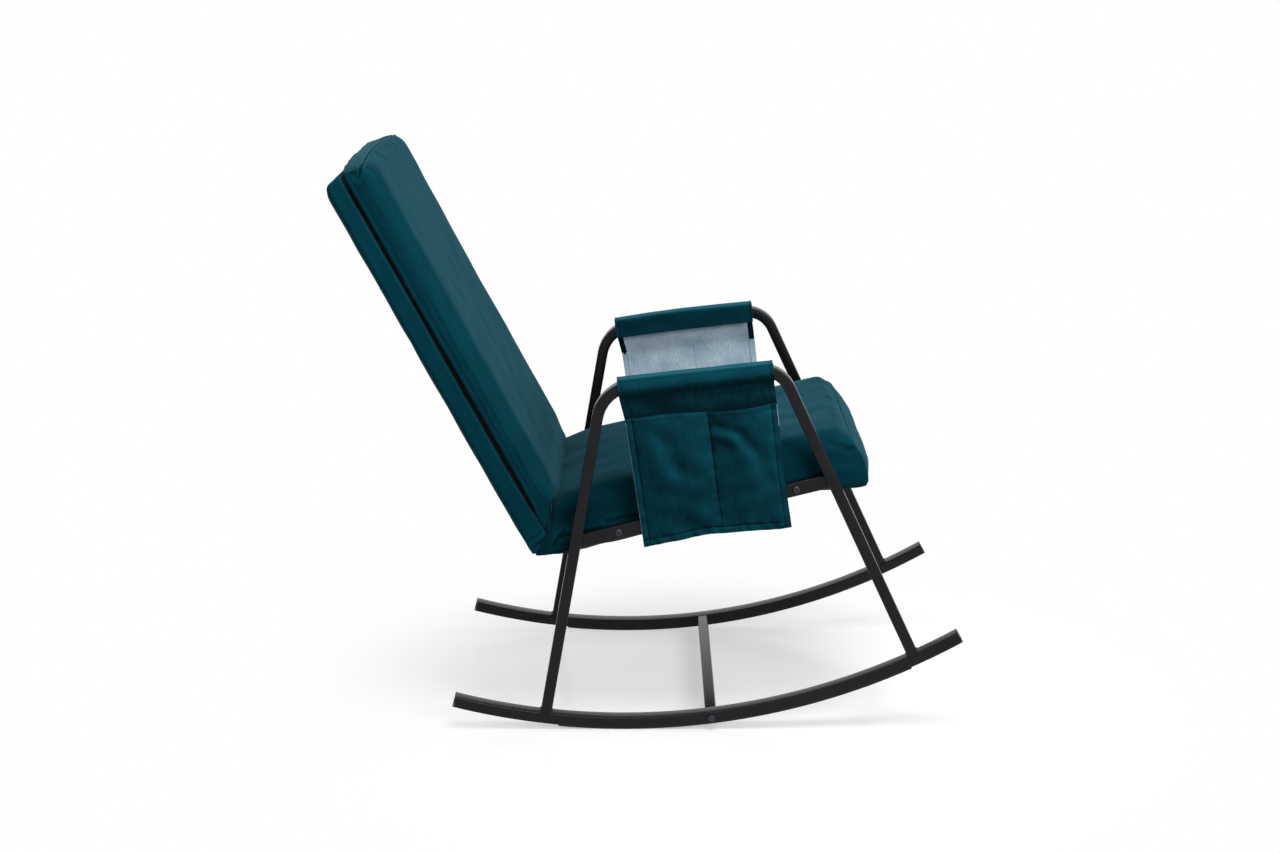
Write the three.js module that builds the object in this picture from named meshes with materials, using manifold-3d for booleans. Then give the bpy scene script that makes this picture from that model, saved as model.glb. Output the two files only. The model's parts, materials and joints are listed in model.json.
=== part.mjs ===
// Rocking chair: two bent tube side frames on curved runners, a padded seat and back bolted between
// them, and an organiser with two pockets hanging from each arm.
// Millimetres. +X is the chair's front, +Y its left and +Z up. The origin is on the floor, under the
// centre of the chair's outline. In this file, side views are drawn with x = 0 over the lowest point of
// the runners and z = 0 at the underside of the runner tubes there.
import * as THREE from "three";
import { mergeVertices } from "three/addons/utils/BufferGeometryUtils.js";
import Module from "manifold-3d";

const wasm = await Module();
wasm.setup();

const degree = Math.PI / 180;

// Driving dimensions: fits
const clearance = 0.3; // left between pieces that touch
const overrun = 5; // how far a cut runs past the face it opens
const boltPlay = 0.3; // round a bolt's shank in its hole

// Driving dimensions: side frames
const frameWidth = 583; // over the outer faces of the two side frames
const tubeFace = 20; // frame tube, seen from the side
const tubeDepth = 30; // frame tube, across the chair
const tubeWall = 2.2;
const tubeCorner = 2; // chamfer along the edges of the frame tube
const runnerRadius = 1231; // underside of the runner tube
const runnerRearAngle = 14.67 * degree;
const runnerFrontAngle = 29.94 * degree;
const runnerFacet = 3.2 * degree; // the runner's arc is made of flats, one of them level on the floor
const rearFootAngle = 6.8 * degree; // where each leg meets its runner
const frontFootAngle = 25.75 * degree;
const rearLegLean = 9.9 * degree; // from upright, forward as it rises
const frontLegLean = 25 * degree; // from upright, backward as it rises
const armHeight = 640; // centre of the arm tube over the runner's lowest point
const armSlope = 6.84 * degree;
const rearBendRadius = 70;
const frontBendRadius = 55;
const bendSteps = 9;
const stripThickness = 3;
const stripRearAngle = 5.6 * degree;
const stripFrontAngle = 25.2 * degree;
const plugPlate = 2.5;
const plugStub = 14;

// Driving dimensions: rails and crossbar
const railTall = 25;
const railDepth = 20;
const railHeight = 373; // centre of the seat rail over the runner's lowest point
const railSlope = 14.12 * degree;
const crossbarSize = 20;
const crossbarAngle = 7.53 * degree;
const insertLength = 25;

// Driving dimensions: frame of the seat and back, inside the upholstery
const memberSize = 20;
const memberWall = 1.5;
const memberInset = 8; // from the side of the upholstery to the tube
const memberFront = 400; // forward end, along the seat rail's line
const memberTop = 725; // top end, up the back from the corner
const memberBendRadius = 45;
const backLean = 28.5 * degree; // from upright
const backFoot = 129; // corner of the seat and back lines, behind the runner's lowest point
const strapWidth = 45;
const strapThickness = 3;
const seatStraps = 5;
const backStraps = 4;

// Driving dimensions: fasteners
const boltRadius = 4;
const buttonHeadRadius = 7;
const buttonHeadHeight = 4;
const socketAcross = 5;
const socketDepth = 2.5;
const hexAcross = 13;
const hexHeadHeight = 5.3;
const nutHeight = 6.5;
const spacerRadius = 9;
const rearSeatBolt = -9; // along the rail's line, from over the runner's lowest point
const frontSeatBolt = 319;
const roundSteps = 16;

// Driving dimensions: upholstery
const padGap = 3.5; // between the side frames and the upholstery
const padEdge = 8; // rounding of the padded edges
const seatRear = 168; // behind the runner's lowest point, along the seat
const seatFront = 450;
const seatFrontLean = 13; // the front face's top edge lies this far behind its foot
const seatTopRear = 66.6; // top of the seat above the frame's plane, at the back cushion
const seatTopFront = 45.2;
const seatTopMark = 109; // where seatTopRear is measured, along the seat
const seatUnderRear = 21.4;
const seatUnderFront = 32.7;
const seatTailRise = 11; // the underside rises to the rear corner by this
const seatTailReach = 56;
const seatCrownRear = 12;
const seatCrownFront = 30;
const seatFrontBulge = 18;
const backFootCut = 70; // the back cushion's front face starts this far up the back
const backFootSlant = 31;
const backTop = 760;
const backTopSlant = 8;
const backTopBulge = 12;
const backFrontDepth = 37; // front face before the frame's plane
const backRearFoot = 41; // rear face behind the frame's plane, at the foot and at the top
const backRearTop = 31;
const backCrown = 16;
const rearPanelCrown = 5;

// Driving dimensions: organisers
const clothThickness = 2;
const sleeveRear = -10; // along the arm, from over the runner's lowest point
const leftSleeveShift = -10; // the left organiser is pushed back along its arm by this
const sleeveWidth = 277;
const sleeveLift = 2.5; // the sleeve stands off the arm tube by this at its rear end
const sleeveInnerDrop = 22; // inner flap below the arm's centre line
const hingeDrop = 8; // the panel's crease below the arm's centre line
const panelDrop = 277;
const panelWidth = 273;
const panelForward = 7; // the panel hangs this far forward of the sleeve's rear end
const panelRearDip = 7; // the rear lower corner hangs a little lower
const pocketTop = 52; // below the crease
const pocketDepth = 8; // room inside each pocket
const pocketSkin = 2;
const pocketSeam = 10; // stitched band round each pocket
const pocketFloor = 12;
const foldDepth = 1.6;
const foldCount = 3;

// Derived places
const outerY = -frameWidth / 2;
const innerY = outerY + tubeDepth;
const padHalf = -innerY - padGap;
const padWidth = 2 * padHalf;
const slitHalf = strapThickness / 2 + clearance;
const memberOuterY = -padHalf + memberInset;
const memberInnerY = memberOuterY + memberSize;
const runnerCentre = new THREE.Vector2(0, runnerRadius);
const rearFoot = onRunner(-rearFootAngle, tubeFace / 2);
const frontFoot = onRunner(frontFootAngle, tubeFace / 2);
const armStart = new THREE.Vector2(0, armHeight);
const railStart = new THREE.Vector2(0, railHeight);
const backAngle = Math.PI / 2 + backLean;
const memberCorner = new THREE.Vector2(-backFoot, railHeight - backFoot * Math.tan(railSlope));
const seatFrame = sideFrame(railStart, railSlope);
const backFrame = sideFrame(memberCorner, backAngle);
const armFrame = sideFrame(armStart, armSlope);

// Materials
const powderCoat = new THREE.MeshStandardMaterial({ color: 0x242427, roughness: 0.45, metalness: 0.3 });
const blackPlastic = new THREE.MeshStandardMaterial({ color: 0x19191b, roughness: 0.6, metalness: 0 });
const zincSteel = new THREE.MeshStandardMaterial({ color: 0x55565a, roughness: 0.35, metalness: 0.9 });
const webbing = new THREE.MeshStandardMaterial({ color: 0x202022, roughness: 0.9, metalness: 0 });
const velvet = new THREE.MeshStandardMaterial({ color: 0x17505a, roughness: 0.85, metalness: 0 });

// Side view helpers

// A point inside the runner tube, 'up' from its underside, at an angle from the runner's lowest point.
function onRunner(angle, up) {
  const radius = runnerRadius - up;
  return new THREE.Vector2(
    runnerCentre.x + radius * Math.sin(angle),
    runnerCentre.y - radius * Math.cos(angle),
  );
}

function heading(angle) {
  return new THREE.Vector2(Math.cos(angle), Math.sin(angle));
}

// Where two lines in the side view cross.
function meet(a, headingA, b, headingB) {
  const along = b.clone().sub(a).cross(headingB) / headingA.cross(headingB);
  return a.clone().addScaledVector(headingA, along);
}

// A tilted frame: local x runs along the angle, local z square to it and local y stays across.
function sideFrame(start, angle) {
  const frame = new THREE.Matrix4().makeRotationY(-angle);
  return frame.setPosition(start.x, 0, start.y);
}

// Points along straight runs joined by round bends.
function bentLine(corners, radii) {
  const points = [corners[0]];
  radii.forEach((radius, i) => {
    const corner = corners[i + 1];
    const back = corners[i].clone().sub(corner).normalize();
    const onward = corners[i + 2].clone().sub(corner).normalize();
    const half = Math.acos(back.dot(onward)) / 2;
    const middle = back.clone().add(onward).normalize();
    const centre = corner.clone().addScaledVector(middle, radius / Math.sin(half));
    const start = corner.clone().addScaledVector(back, radius / Math.tan(half));
    const turn = Math.sign(onward.cross(back)) * (Math.PI - 2 * half);
    for (let k = 0; k <= bendSteps; k++)
      points.push(start.clone().rotateAround(centre, (turn * k) / bendSteps));
  });
  points.push(corners.at(-1));
  return points;
}

// A line of points moved sideways, to its left for a positive distance, with its flats kept parallel.
function moved(points, distance) {
  return points.map((point, i) => {
    const before = points[Math.max(i - 1, 0)];
    const after = points[Math.min(i + 1, points.length - 1)];
    const arriving = (i ? point.clone().sub(before) : after.clone().sub(point)).normalize();
    const leaving = (after === point ? point.clone().sub(before) : after.clone().sub(point)).normalize();
    const normal = arriving.clone().add(leaving).normalize();
    const scale = 1 / normal.dot(arriving);
    return new THREE.Vector2(
      point.x - normal.y * distance * scale,
      point.y + normal.x * distance * scale,
    );
  });
}

// The outline between two lines that run beside the same points.
function ribbon(points, right, left) {
  return new THREE.Shape([...moved(points, right), ...moved(points, left).reverse()]);
}

// Solids

// An outline in the side view made solid from one y to another, with its long edges chamfered.
function across(shape, fromY, toY, chamfer = 0) {
  const geometry = new THREE.ExtrudeGeometry(shape, {
    depth: toY - fromY - 2 * chamfer,
    bevelEnabled: chamfer > 0,
    bevelSegments: 1,
    bevelSize: chamfer,
    bevelThickness: chamfer,
    bevelOffset: -chamfer,
  });
  return geometry.rotateX(Math.PI / 2).translate(0, toY - chamfer, 0);
}

function boxAt(low, high) {
  const size = high.clone().sub(low);
  const centre = high.clone().add(low).multiplyScalar(1 / 2);
  return new THREE.BoxGeometry(size.x, size.y, size.z).translate(centre.x, centre.y, centre.z);
}

function solid(geometry) {
  const bare = geometry.clone();
  bare.deleteAttribute("normal");
  bare.deleteAttribute("uv");
  const merged = mergeVertices(bare, clearance / 1000);
  return new wasm.Manifold(
    new wasm.Mesh({
      numProp: 3,
      vertProperties: merged.attributes.position.array,
      triVerts: new Uint32Array(merged.index.array),
    }),
  );
}

function geometryOf(made) {
  const mesh = made.getMesh();
  const geometry = new THREE.BufferGeometry();
  geometry.setAttribute("position", new THREE.BufferAttribute(mesh.vertProperties, 3));
  geometry.setIndex(new THREE.BufferAttribute(mesh.triVerts, 1));
  const flat = geometry.toNonIndexed();
  flat.computeVertexNormals();
  return flat;
}

function cut(geometry, cutters) {
  const left = cutters.reduce((body, cutter) => body.subtract(solid(cutter)), solid(geometry));
  return geometryOf(left);
}

// The same shape on the chair's other side.
function mirrored(geometry) {
  const other = (geometry.index ? geometry.toNonIndexed() : geometry.clone()).scale(1, -1, 1);
  const positions = other.attributes.position;
  const corner = new THREE.Vector3();
  const swapped = new THREE.Vector3();
  for (let i = 0; i < positions.count; i += 3) {
    corner.fromBufferAttribute(positions, i + 1);
    swapped.fromBufferAttribute(positions, i + 2);
    positions.setXYZ(i + 1, swapped.x, swapped.y, swapped.z);
    positions.setXYZ(i + 2, corner.x, corner.y, corner.z);
  }
  return other;
}

// A solid turned round the y axis, from radius and y pairs that run from -y to +y.
function turned(pairs) {
  return new THREE.LatheGeometry(
    pairs.map(([radius, y]) => new THREE.Vector2(radius, y)),
    roundSteps,
  );
}

// A six-sided prism along y, from one y to another.
function hexagon(acrossFlats, fromY, toY) {
  const radius = acrossFlats / Math.sqrt(3);
  return new THREE.CylinderGeometry(radius, radius, toY - fromY, 6).translate(0, (fromY + toY) / 2, 0);
}

function rod(radius, fromY, toY) {
  return turned([[0, fromY], [radius, fromY], [radius, toY], [0, toY]]);
}

// Side frame, right side: outboard is -y

const hoopCorners = [
  rearFoot,
  meet(rearFoot, heading(Math.PI / 2 - rearLegLean), armStart, heading(armSlope)),
  meet(frontFoot, heading(Math.PI / 2 + frontLegLean), armStart, heading(armSlope)),
  frontFoot,
];

// Points on the runner's underside between two angles, with a level flat at the lowest point.
function runnerLine(rearAngle, frontAngle) {
  const edges = [];
  const first = Math.ceil(-rearAngle / runnerFacet);
  const last = Math.floor(frontAngle / runnerFacet - 1);
  for (let k = first; k <= last; k++) edges.push((k + 1 / 2) * runnerFacet);
  const flats = edges.map((angle) => onRunner(angle, 0));
  const end = (from, to, angle) => {
    const reach = onRunner(angle, 0).sub(runnerCentre);
    return meet(from, to.clone().sub(from), runnerCentre, reach);
  };
  const next = (angle) => onRunner(angle + runnerFacet, 0);
  const before = onRunner(edges[0] - runnerFacet, 0);
  return [
    end(before, flats[0], -rearAngle),
    ...flats,
    end(flats.at(-1), next(edges.at(-1)), frontAngle),
  ];
}

const runnerPoints = runnerLine(runnerRearAngle, runnerFrontAngle);

function runnerBody(grow) {
  const shape = ribbon(runnerPoints, -grow, tubeFace + grow);
  return across(shape, outerY - grow, innerY + grow, tubeCorner);
}

// A line of points with each end carried on, straight, by a distance.
function lengthened(points, distance) {
  const carried = points.map((point) => point.clone());
  const first = points[0].clone().sub(points[1]).normalize();
  const last = points.at(-1).clone().sub(points.at(-2)).normalize();
  carried[0].addScaledVector(first, distance);
  carried.at(-1).addScaledVector(last, distance);
  return carried;
}

const crossbarCentre = onRunner(crossbarAngle, tubeFace / 2);

function crossbarAxis(geometry) {
  return geometry.rotateY(-crossbarAngle).translate(crossbarCentre.x, 0, crossbarCentre.y);
}

function runnerGeometry() {
  const hollow = ribbon(lengthened(runnerPoints, overrun), tubeWall, tubeFace - tubeWall);
  const hole = crossbarAxis(rod(boltRadius + boltPlay, outerY - overrun, innerY + overrun));
  return cut(runnerBody(0), [across(hollow, outerY + tubeWall, innerY - tubeWall), hole]);
}

function hoopBody(inset, grow) {
  const points = bentLine(hoopCorners, [rearBendRadius, frontBendRadius]);
  const half = tubeFace / 2 - inset + grow;
  const chamfer = inset ? 0 : tubeCorner;
  return across(ribbon(points, -half, half), outerY + inset - grow, innerY - inset + grow, chamfer);
}

function hoopGeometry() {
  return cut(hoopBody(0, 0), [hoopBody(tubeWall, 0), runnerBody(clearance)]);
}

function stripGeometry() {
  const points = runnerLine(stripRearAngle, stripFrontAngle);
  const shape = ribbon(points, -clearance - stripThickness, -clearance);
  return across(shape, outerY + tubeCorner, innerY - tubeCorner);
}

// A plug in a runner's end: a plate over the tube's end and a stub inside it.
function plugGeometry(end, beyond) {
  const inward = beyond.clone().sub(end).normalize();
  const plate = boxAt(
    new THREE.Vector3(-plugPlate - clearance, outerY, 0),
    new THREE.Vector3(-clearance, innerY, tubeFace),
  );
  const lining = tubeWall + clearance;
  const stub = boxAt(
    new THREE.Vector3(-clearance - plugPlate / 2, outerY + lining, lining),
    new THREE.Vector3(plugStub, innerY - lining, tubeFace - lining),
  );
  const plug = geometryOf(solid(plate).add(solid(stub)));
  if (inward.x < 0) plug.scale(-1, -1, 1).translate(0, outerY + innerY, 0);
  const slope = inward.x < 0 ? Math.atan2(-inward.y, -inward.x) : inward.angle();
  return plug.rotateY(-slope).translate(end.x, 0, end.y);
}

// The seat rail runs between the legs and is trimmed to them.
const railCentreY = innerY - railDepth / 2;

function railGeometry() {
  const rear = meet(rearFoot, heading(Math.PI / 2 - rearLegLean), railStart, heading(railSlope));
  const front = meet(frontFoot, heading(Math.PI / 2 + frontLegLean), railStart, heading(railSlope));
  const tube = (inset, extra) => {
    const line = lengthened([rear, front], extra);
    const half = railTall / 2 - inset;
    const chamfer = inset ? 0 : tubeCorner;
    return across(ribbon(line, -half, half), innerY - railDepth + inset, innerY - inset, chamfer);
  };
  const holes = [rearSeatBolt, frontSeatBolt].map((along) =>
    onRailLine(rod(boltRadius + boltPlay, innerY - railDepth - overrun, innerY + overrun), along),
  );
  return cut(tube(0, 0), [tube(tubeWall, overrun), hoopBody(0, clearance), ...holes]);
}

// A piece round the y axis, carried to a place along the rail's centre line.
function onRailLine(geometry, along) {
  return geometry.translate(along, 0, 0).applyMatrix4(seatFrame);
}

// Frame of the seat and back

const memberCorners = [
  railStart.clone().addScaledVector(heading(railSlope), memberFront),
  memberCorner,
  memberCorner.clone().addScaledVector(heading(backAngle), memberTop),
];

function memberBody(inset, grow, extra) {
  const points = lengthened(bentLine(memberCorners, [memberBendRadius]), extra);
  const half = memberSize / 2 - inset + grow;
  return across(ribbon(points, -half, half), memberOuterY + inset - grow, memberInnerY - inset + grow);
}

function memberGeometry() {
  const holes = [rearSeatBolt, frontSeatBolt].map((along) =>
    onRailLine(rod(boltRadius + boltPlay, memberOuterY - overrun, memberInnerY + overrun), along),
  );
  return cut(memberBody(0, 0, 0), [memberBody(memberWall, 0, overrun), ...holes]);
}

// Cross tubes lie between the members, in their plane; each has its frame and its place in it.
const crossTubes = {
  seat_front_tube: [seatFrame, memberFront - memberSize],
  seat_rear_tube: [seatFrame, -backFoot / Math.cos(railSlope) + memberBendRadius],
  back_middle_tube: [backFrame, (backFootCut + memberTop) / 2],
  back_top_tube: [backFrame, memberTop - memberSize],
};

function crossTube(frame, along, grow) {
  const half = memberSize / 2 + grow;
  const endY = memberInnerY + clearance - grow;
  return boxAt(
    new THREE.Vector3(along - half, endY, -half),
    new THREE.Vector3(along + half, -endY, half),
  ).applyMatrix4(frame);
}

function crossTubeGeometry(frame, along) {
  const half = memberSize / 2 - memberWall;
  const hollow = boxAt(
    new THREE.Vector3(along - half, memberInnerY - overrun, -half),
    new THREE.Vector3(along + half, -memberInnerY + overrun, half),
  ).applyMatrix4(frame);
  return cut(crossTube(frame, along, 0), [hollow]);
}

function strapGeometry(frame, along) {
  const endY = memberInnerY + clearance;
  return boxAt(
    new THREE.Vector3(along - strapWidth / 2, endY, -strapThickness / 2),
    new THREE.Vector3(along + strapWidth / 2, -endY, strapThickness / 2),
  ).applyMatrix4(frame);
}

// Places of a number of straps, evenly spread between two cross tubes.
function spread(count, from, to) {
  return Array.from({ length: count }, (_, i) => from + ((to - from) * (i + 1)) / (count + 1));
}

// Fasteners, right side

function seatBoltGeometry(along) {
  const face = innerY - railDepth - clearance;
  const end = memberInnerY + nutHeight + 2 * clearance;
  const head = turned([
    [0, face - buttonHeadHeight],
    [buttonHeadRadius / 2, face - buttonHeadHeight],
    [buttonHeadRadius, face - buttonHeadHeight / 3],
    [buttonHeadRadius, face],
    [boltRadius, face],
    [boltRadius, end],
    [0, end],
  ]);
  const socket = hexagon(
    socketAcross,
    face - buttonHeadHeight - overrun,
    face - buttonHeadHeight + socketDepth,
  );
  return onRailLine(cut(head, [socket]), along);
}

function spacerBody(along, grow) {
  const fromY = innerY + clearance - grow;
  return onRailLine(rod(spacerRadius + grow, fromY, memberOuterY - clearance + grow), along);
}

function spacerGeometry(along) {
  const bore = onRailLine(rod(boltRadius + boltPlay, innerY - overrun, memberOuterY + overrun), along);
  return cut(spacerBody(along, 0), [bore]);
}

function nutBody(along, grow) {
  const fromY = memberInnerY + clearance;
  return onRailLine(hexagon(hexAcross + 2 * grow, fromY - grow, fromY + nutHeight + grow), along);
}

function nutGeometry(along) {
  const bore = rod(boltRadius + boltPlay, memberInnerY - overrun, memberInnerY + nutHeight + overrun);
  return cut(nutBody(along, 0), [onRailLine(bore, along)]);
}

// Room for a bolt's free end past its nut.
function boltEndRoom(along) {
  const fromY = memberInnerY;
  const room = rod(boltRadius + clearance, fromY, fromY + nutHeight + 3 * clearance);
  return onRailLine(room, along);
}

function crossbarGeometry() {
  const endY = innerY + clearance;
  const half = crossbarSize / 2;
  const body = boxAt(new THREE.Vector3(-half, endY, -half), new THREE.Vector3(half, -endY, half));
  const inner = half - tubeWall;
  const hollow = boxAt(
    new THREE.Vector3(-inner, endY - overrun, -inner),
    new THREE.Vector3(inner, -endY + overrun, inner),
  );
  return cut(crossbarAxis(body), [crossbarAxis(hollow)]);
}

function insertGeometry() {
  const half = crossbarSize / 2 - tubeWall - clearance;
  const fromY = innerY + clearance;
  const body = boxAt(
    new THREE.Vector3(-half, fromY, -half),
    new THREE.Vector3(half, fromY + insertLength, half),
  );
  const bore = rod(boltRadius + boltPlay, fromY - overrun, fromY + insertLength + overrun);
  return cut(crossbarAxis(body), [crossbarAxis(bore)]);
}

function crossbarBoltGeometry() {
  const face = outerY - clearance;
  const shank = rod(boltRadius, face - hexHeadHeight / 2, innerY + insertLength / 2);
  const head = hexagon(hexAcross, face - hexHeadHeight, face);
  return crossbarAxis(geometryOf(solid(head).add(solid(shank))));
}

// Upholstery

const edgeSteps = 2;

// Grid places from -half to half: even in the middle, and crowded into the rounding at both ends.
function roundedPlace(index, count, half, edge) {
  const inner = count - 2 * edgeSteps;
  const fromEnd = Math.min(index, count - index);
  if (fromEnd >= edgeSteps) return (half - edge) * ((2 * (index - edgeSteps)) / inner - 1);
  const turn = (Math.PI / 4) * ((edgeSteps - fromEnd) / edgeSteps);
  const place = half - edge + edge * Math.tan(turn);
  return index < count / 2 ? -place : place;
}

// A padded block: a box grid with rounded edges. 'form' moves each point, given the point and its
// shares of the half length, half width and half thickness.
function paddedBlock(size, steps, grow, form) {
  const grid = new THREE.BoxGeometry(2, 2, 2, steps.x, steps.y, steps.z);
  grid.deleteAttribute("normal");
  grid.deleteAttribute("uv");
  const block = mergeVertices(grid, 1 / 1000);
  const positions = block.attributes.position;
  const axes = ["x", "y", "z"];
  const point = new THREE.Vector3();
  for (let i = 0; i < positions.count; i++) {
    point.fromBufferAttribute(positions, i);
    const core = new THREE.Vector3();
    for (const axis of axes) {
      const index = Math.round(((point[axis] + 1) / 2) * steps[axis]);
      const half = size[axis] / 2;
      point[axis] = roundedPlace(index, steps[axis], half, padEdge);
      core[axis] = THREE.MathUtils.clamp(point[axis], padEdge - half, half - padEdge);
    }
    const outward = point.clone().sub(core).normalize();
    point.copy(core).addScaledVector(outward, padEdge);
    const share = new THREE.Vector3();
    for (const axis of axes) share[axis] = point[axis] / (size[axis] / 2);
    form(point, share);
    point.addScaledVector(outward, grow);
    positions.setXYZ(i, point.x, point.y, point.z);
  }
  return block;
}

// How far a face swells at a point, from its shares of the half width and half length: steep by the
// seams and flat in the middle.
function swell(widthShare, lengthShare) {
  return (1 - Math.abs(widthShare) ** 10) * (1 - Math.abs(lengthShare) ** 24);
}

// How far the seat's front face bulges, from shares of its half width and of its height.
function frontSwell(widthShare, heightShare) {
  return seatFrontBulge * (1 - widthShare ** 4) * Math.sin(Math.PI * heightShare);
}

function mix(from, to, share) {
  return from + (to - from) * share;
}

const frontSteps = { x: 18, y: 12, z: 6 };
const rearSteps = { x: 12, y: 10, z: 5 };

// The part of the front face's height that the underside pad takes.
const seatUnderShare = seatUnderFront / (seatUnderFront + seatTopFront);

function seatCushionBody() {
  const rear = -seatRear;
  const size = new THREE.Vector3(seatFront - rear, padWidth, seatTopRear);
  const body = paddedBlock(size, frontSteps, 0, (point, share) => {
    const alongShare = (share.x + 1) / 2;
    const upShare = (share.z + 1) / 2;
    const along = mix(rear, seatFront, alongShare);
    const topSlope = (seatTopFront - seatTopRear) / (seatFront - seatFrontLean + seatTopMark);
    const top = seatTopRear + topSlope * (along + seatTopMark);
    const bulge = frontSwell(share.y, mix(seatUnderShare, 1, upShare));
    const crown = mix(seatCrownRear, seatCrownFront, alongShare) * swell(share.y, share.x);
    point.x = along + alongShare ** 8 * (bulge - seatFrontLean * upShare);
    point.z = mix(slitHalf, top, upShare) + upShare * crown;
  });
  return body.applyMatrix4(seatFrame);
}

function undersideBody(grow) {
  const rear = -seatRear;
  const size = new THREE.Vector3(seatFront - rear, padWidth, seatUnderFront);
  const body = paddedBlock(size, rearSteps, grow, (point, share) => {
    const alongShare = (share.x + 1) / 2;
    const downShare = (1 - share.z) / 2;
    const along = mix(rear, seatFront, alongShare);
    const tail = Math.max(0, 1 - (along - rear) / seatTailReach);
    const under = mix(seatUnderRear, seatUnderFront, alongShare) - seatTailRise * tail ** 2;
    const bulge = frontSwell(share.y, mix(seatUnderShare, 0, downShare));
    point.x = along + alongShare ** 8 * bulge;
    point.z = mix(-slitHalf, -under, downShare);
  });
  return body.applyMatrix4(seatFrame);
}

function backCushionBody(grow) {
  const size = new THREE.Vector3(backTop - backFootCut, padWidth, backFrontDepth);
  const body = paddedBlock(size, frontSteps, grow, (point, share) => {
    const alongShare = (share.x + 1) / 2;
    const rearShare = (share.z + 1) / 2;
    const foot = (1 - alongShare) ** 8 * backFootSlant * rearShare;
    const crest = backTopSlant * rearShare + backTopBulge * (1 - share.y ** 2);
    point.x = mix(backFootCut, backTop, alongShare) - foot + alongShare ** 8 * crest;
    point.z = mix(-backFrontDepth, -slitHalf, rearShare) - (1 - rearShare) * backCrown * swell(share.y, share.x);
  });
  return body.applyMatrix4(backFrame);
}

function rearPanelBody(grow) {
  const size = new THREE.Vector3(backTop, padWidth, backRearFoot);
  const body = paddedBlock(size, rearSteps, grow, (point, share) => {
    const alongShare = (share.x + 1) / 2;
    const rearShare = (share.z + 1) / 2;
    const rear = mix(backRearFoot, backRearTop, alongShare);
    point.x = mix(0, backTop, alongShare);
    point.z = mix(slitHalf, rear, rearShare) + rearShare * rearPanelCrown * swell(share.y, share.x);
  });
  return body.applyMatrix4(backFrame);
}

// What the pads leave room for: the members, cross tubes, spacers, nuts and bolt ends.
function hardFrame() {
  const oneSide = [memberBody(0, clearance, clearance)];
  for (const along of [rearSeatBolt, frontSeatBolt])
    oneSide.push(spacerBody(along, clearance), nutBody(along, clearance), boltEndRoom(along));
  const tubes = Object.values(crossTubes).map(([frame, along]) => crossTube(frame, along, clearance));
  return [...oneSide, ...oneSide.map(mirrored), ...tubes];
}

// The gap between the two back pads, which the seat cushion stays out of.
function backSlit() {
  return boxAt(
    new THREE.Vector3(backFootCut - backFootSlant, -padHalf - overrun, -slitHalf - clearance),
    new THREE.Vector3(backTop, padHalf + overrun, backRearFoot),
  ).applyMatrix4(backFrame);
}

// Organisers, right side, in the arm's frame: x along the arm, y outboard negative, z square to the arm

const sleeveOuterY = outerY - clearance - clothThickness;
const sleeveInnerY = innerY + clearance + clothThickness;
const panelY = sleeveOuterY - clearance;

// The sleeve's section is an upside-down U over the arm tube, drawn across the chair. Its top stands
// off the tube most at the rear end.
function sleeveGeometry(shift) {
  const ceiling = tubeFace / 2 + clearance;
  const top = ceiling + clothThickness;
  const section = new THREE.Shape([
    new THREE.Vector2(sleeveOuterY, -hingeDrop),
    new THREE.Vector2(sleeveOuterY + clothThickness, -hingeDrop),
    new THREE.Vector2(sleeveOuterY + clothThickness, ceiling),
    new THREE.Vector2(sleeveInnerY - clothThickness, ceiling),
    new THREE.Vector2(sleeveInnerY - clothThickness, -sleeveInnerDrop),
    new THREE.Vector2(sleeveInnerY, -sleeveInnerDrop),
    new THREE.Vector2(sleeveInnerY, ceiling),
    new THREE.Vector2(sleeveInnerY - clothThickness, top),
    new THREE.Vector2(sleeveOuterY + clothThickness, top),
    new THREE.Vector2(sleeveOuterY, ceiling),
  ]);
  const sleeve = new THREE.ExtrudeGeometry(section, { depth: sleeveWidth, bevelEnabled: false });
  const alongArm = new THREE.Matrix4().makeBasis(
    new THREE.Vector3(0, 1, 0),
    new THREE.Vector3(0, 0, 1),
    new THREE.Vector3(1, 0, 0),
  );
  sleeve.applyMatrix4(alongArm);
  const positions = sleeve.attributes.position;
  for (let i = 0; i < positions.count; i++) {
    const lift = sleeveLift * (1 - positions.getX(i) / sleeveWidth);
    if (positions.getZ(i) >= ceiling) positions.setZ(i, positions.getZ(i) + lift);
  }
  return sleeve.translate(sleeveRear + shift, 0, 0).applyMatrix4(armFrame);
}

// Soft vertical folds, deepest at the hem.
function fold(alongShare, dropShare) {
  return foldDepth * dropShare * Math.sin(2 * Math.PI * foldCount * alongShare);
}

// A sheet of the hanging panel's outline between two distances outboard, from one drop to another.
// Local x runs from the sleeve's rear end.
function clothSheet(near, far, fromDrop, toDrop, steps, sideInset) {
  const sheet = new THREE.BoxGeometry(1, 1, 1, steps.x, 1, steps.z).toNonIndexed();
  const positions = sheet.attributes.position;
  for (let i = 0; i < positions.count; i++) {
    const alongShare = positions.getX(i) + 1 / 2;
    const downShare = 1 / 2 - positions.getZ(i);
    const along = mix(sideInset, panelWidth - sideInset, alongShare);
    const drop = mix(fromDrop, toDrop, downShare);
    const forward = panelForward * Math.sqrt(drop / panelDrop);
    const dip = panelRearDip * (drop / panelDrop) * (1 - alongShare) ** 2;
    const outboard = positions.getY(i) < 0 ? far : near;
    const bend = fold(along / panelWidth, drop / panelDrop);
    positions.setXYZ(i, along + forward, panelY - outboard - bend, -hingeDrop - drop - dip);
  }
  return sheet;
}

const clothSteps = { x: 18, z: 8 };

function panelSheet(grow) {
  return clothSheet(-grow, clothThickness + grow, clearance, panelDrop, clothSteps, 0);
}

// From the sleeve's rear end to the arm's frame.
function hung(geometry, shift) {
  return geometry.translate(sleeveRear + shift, 0, 0).applyMatrix4(armFrame);
}

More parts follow.
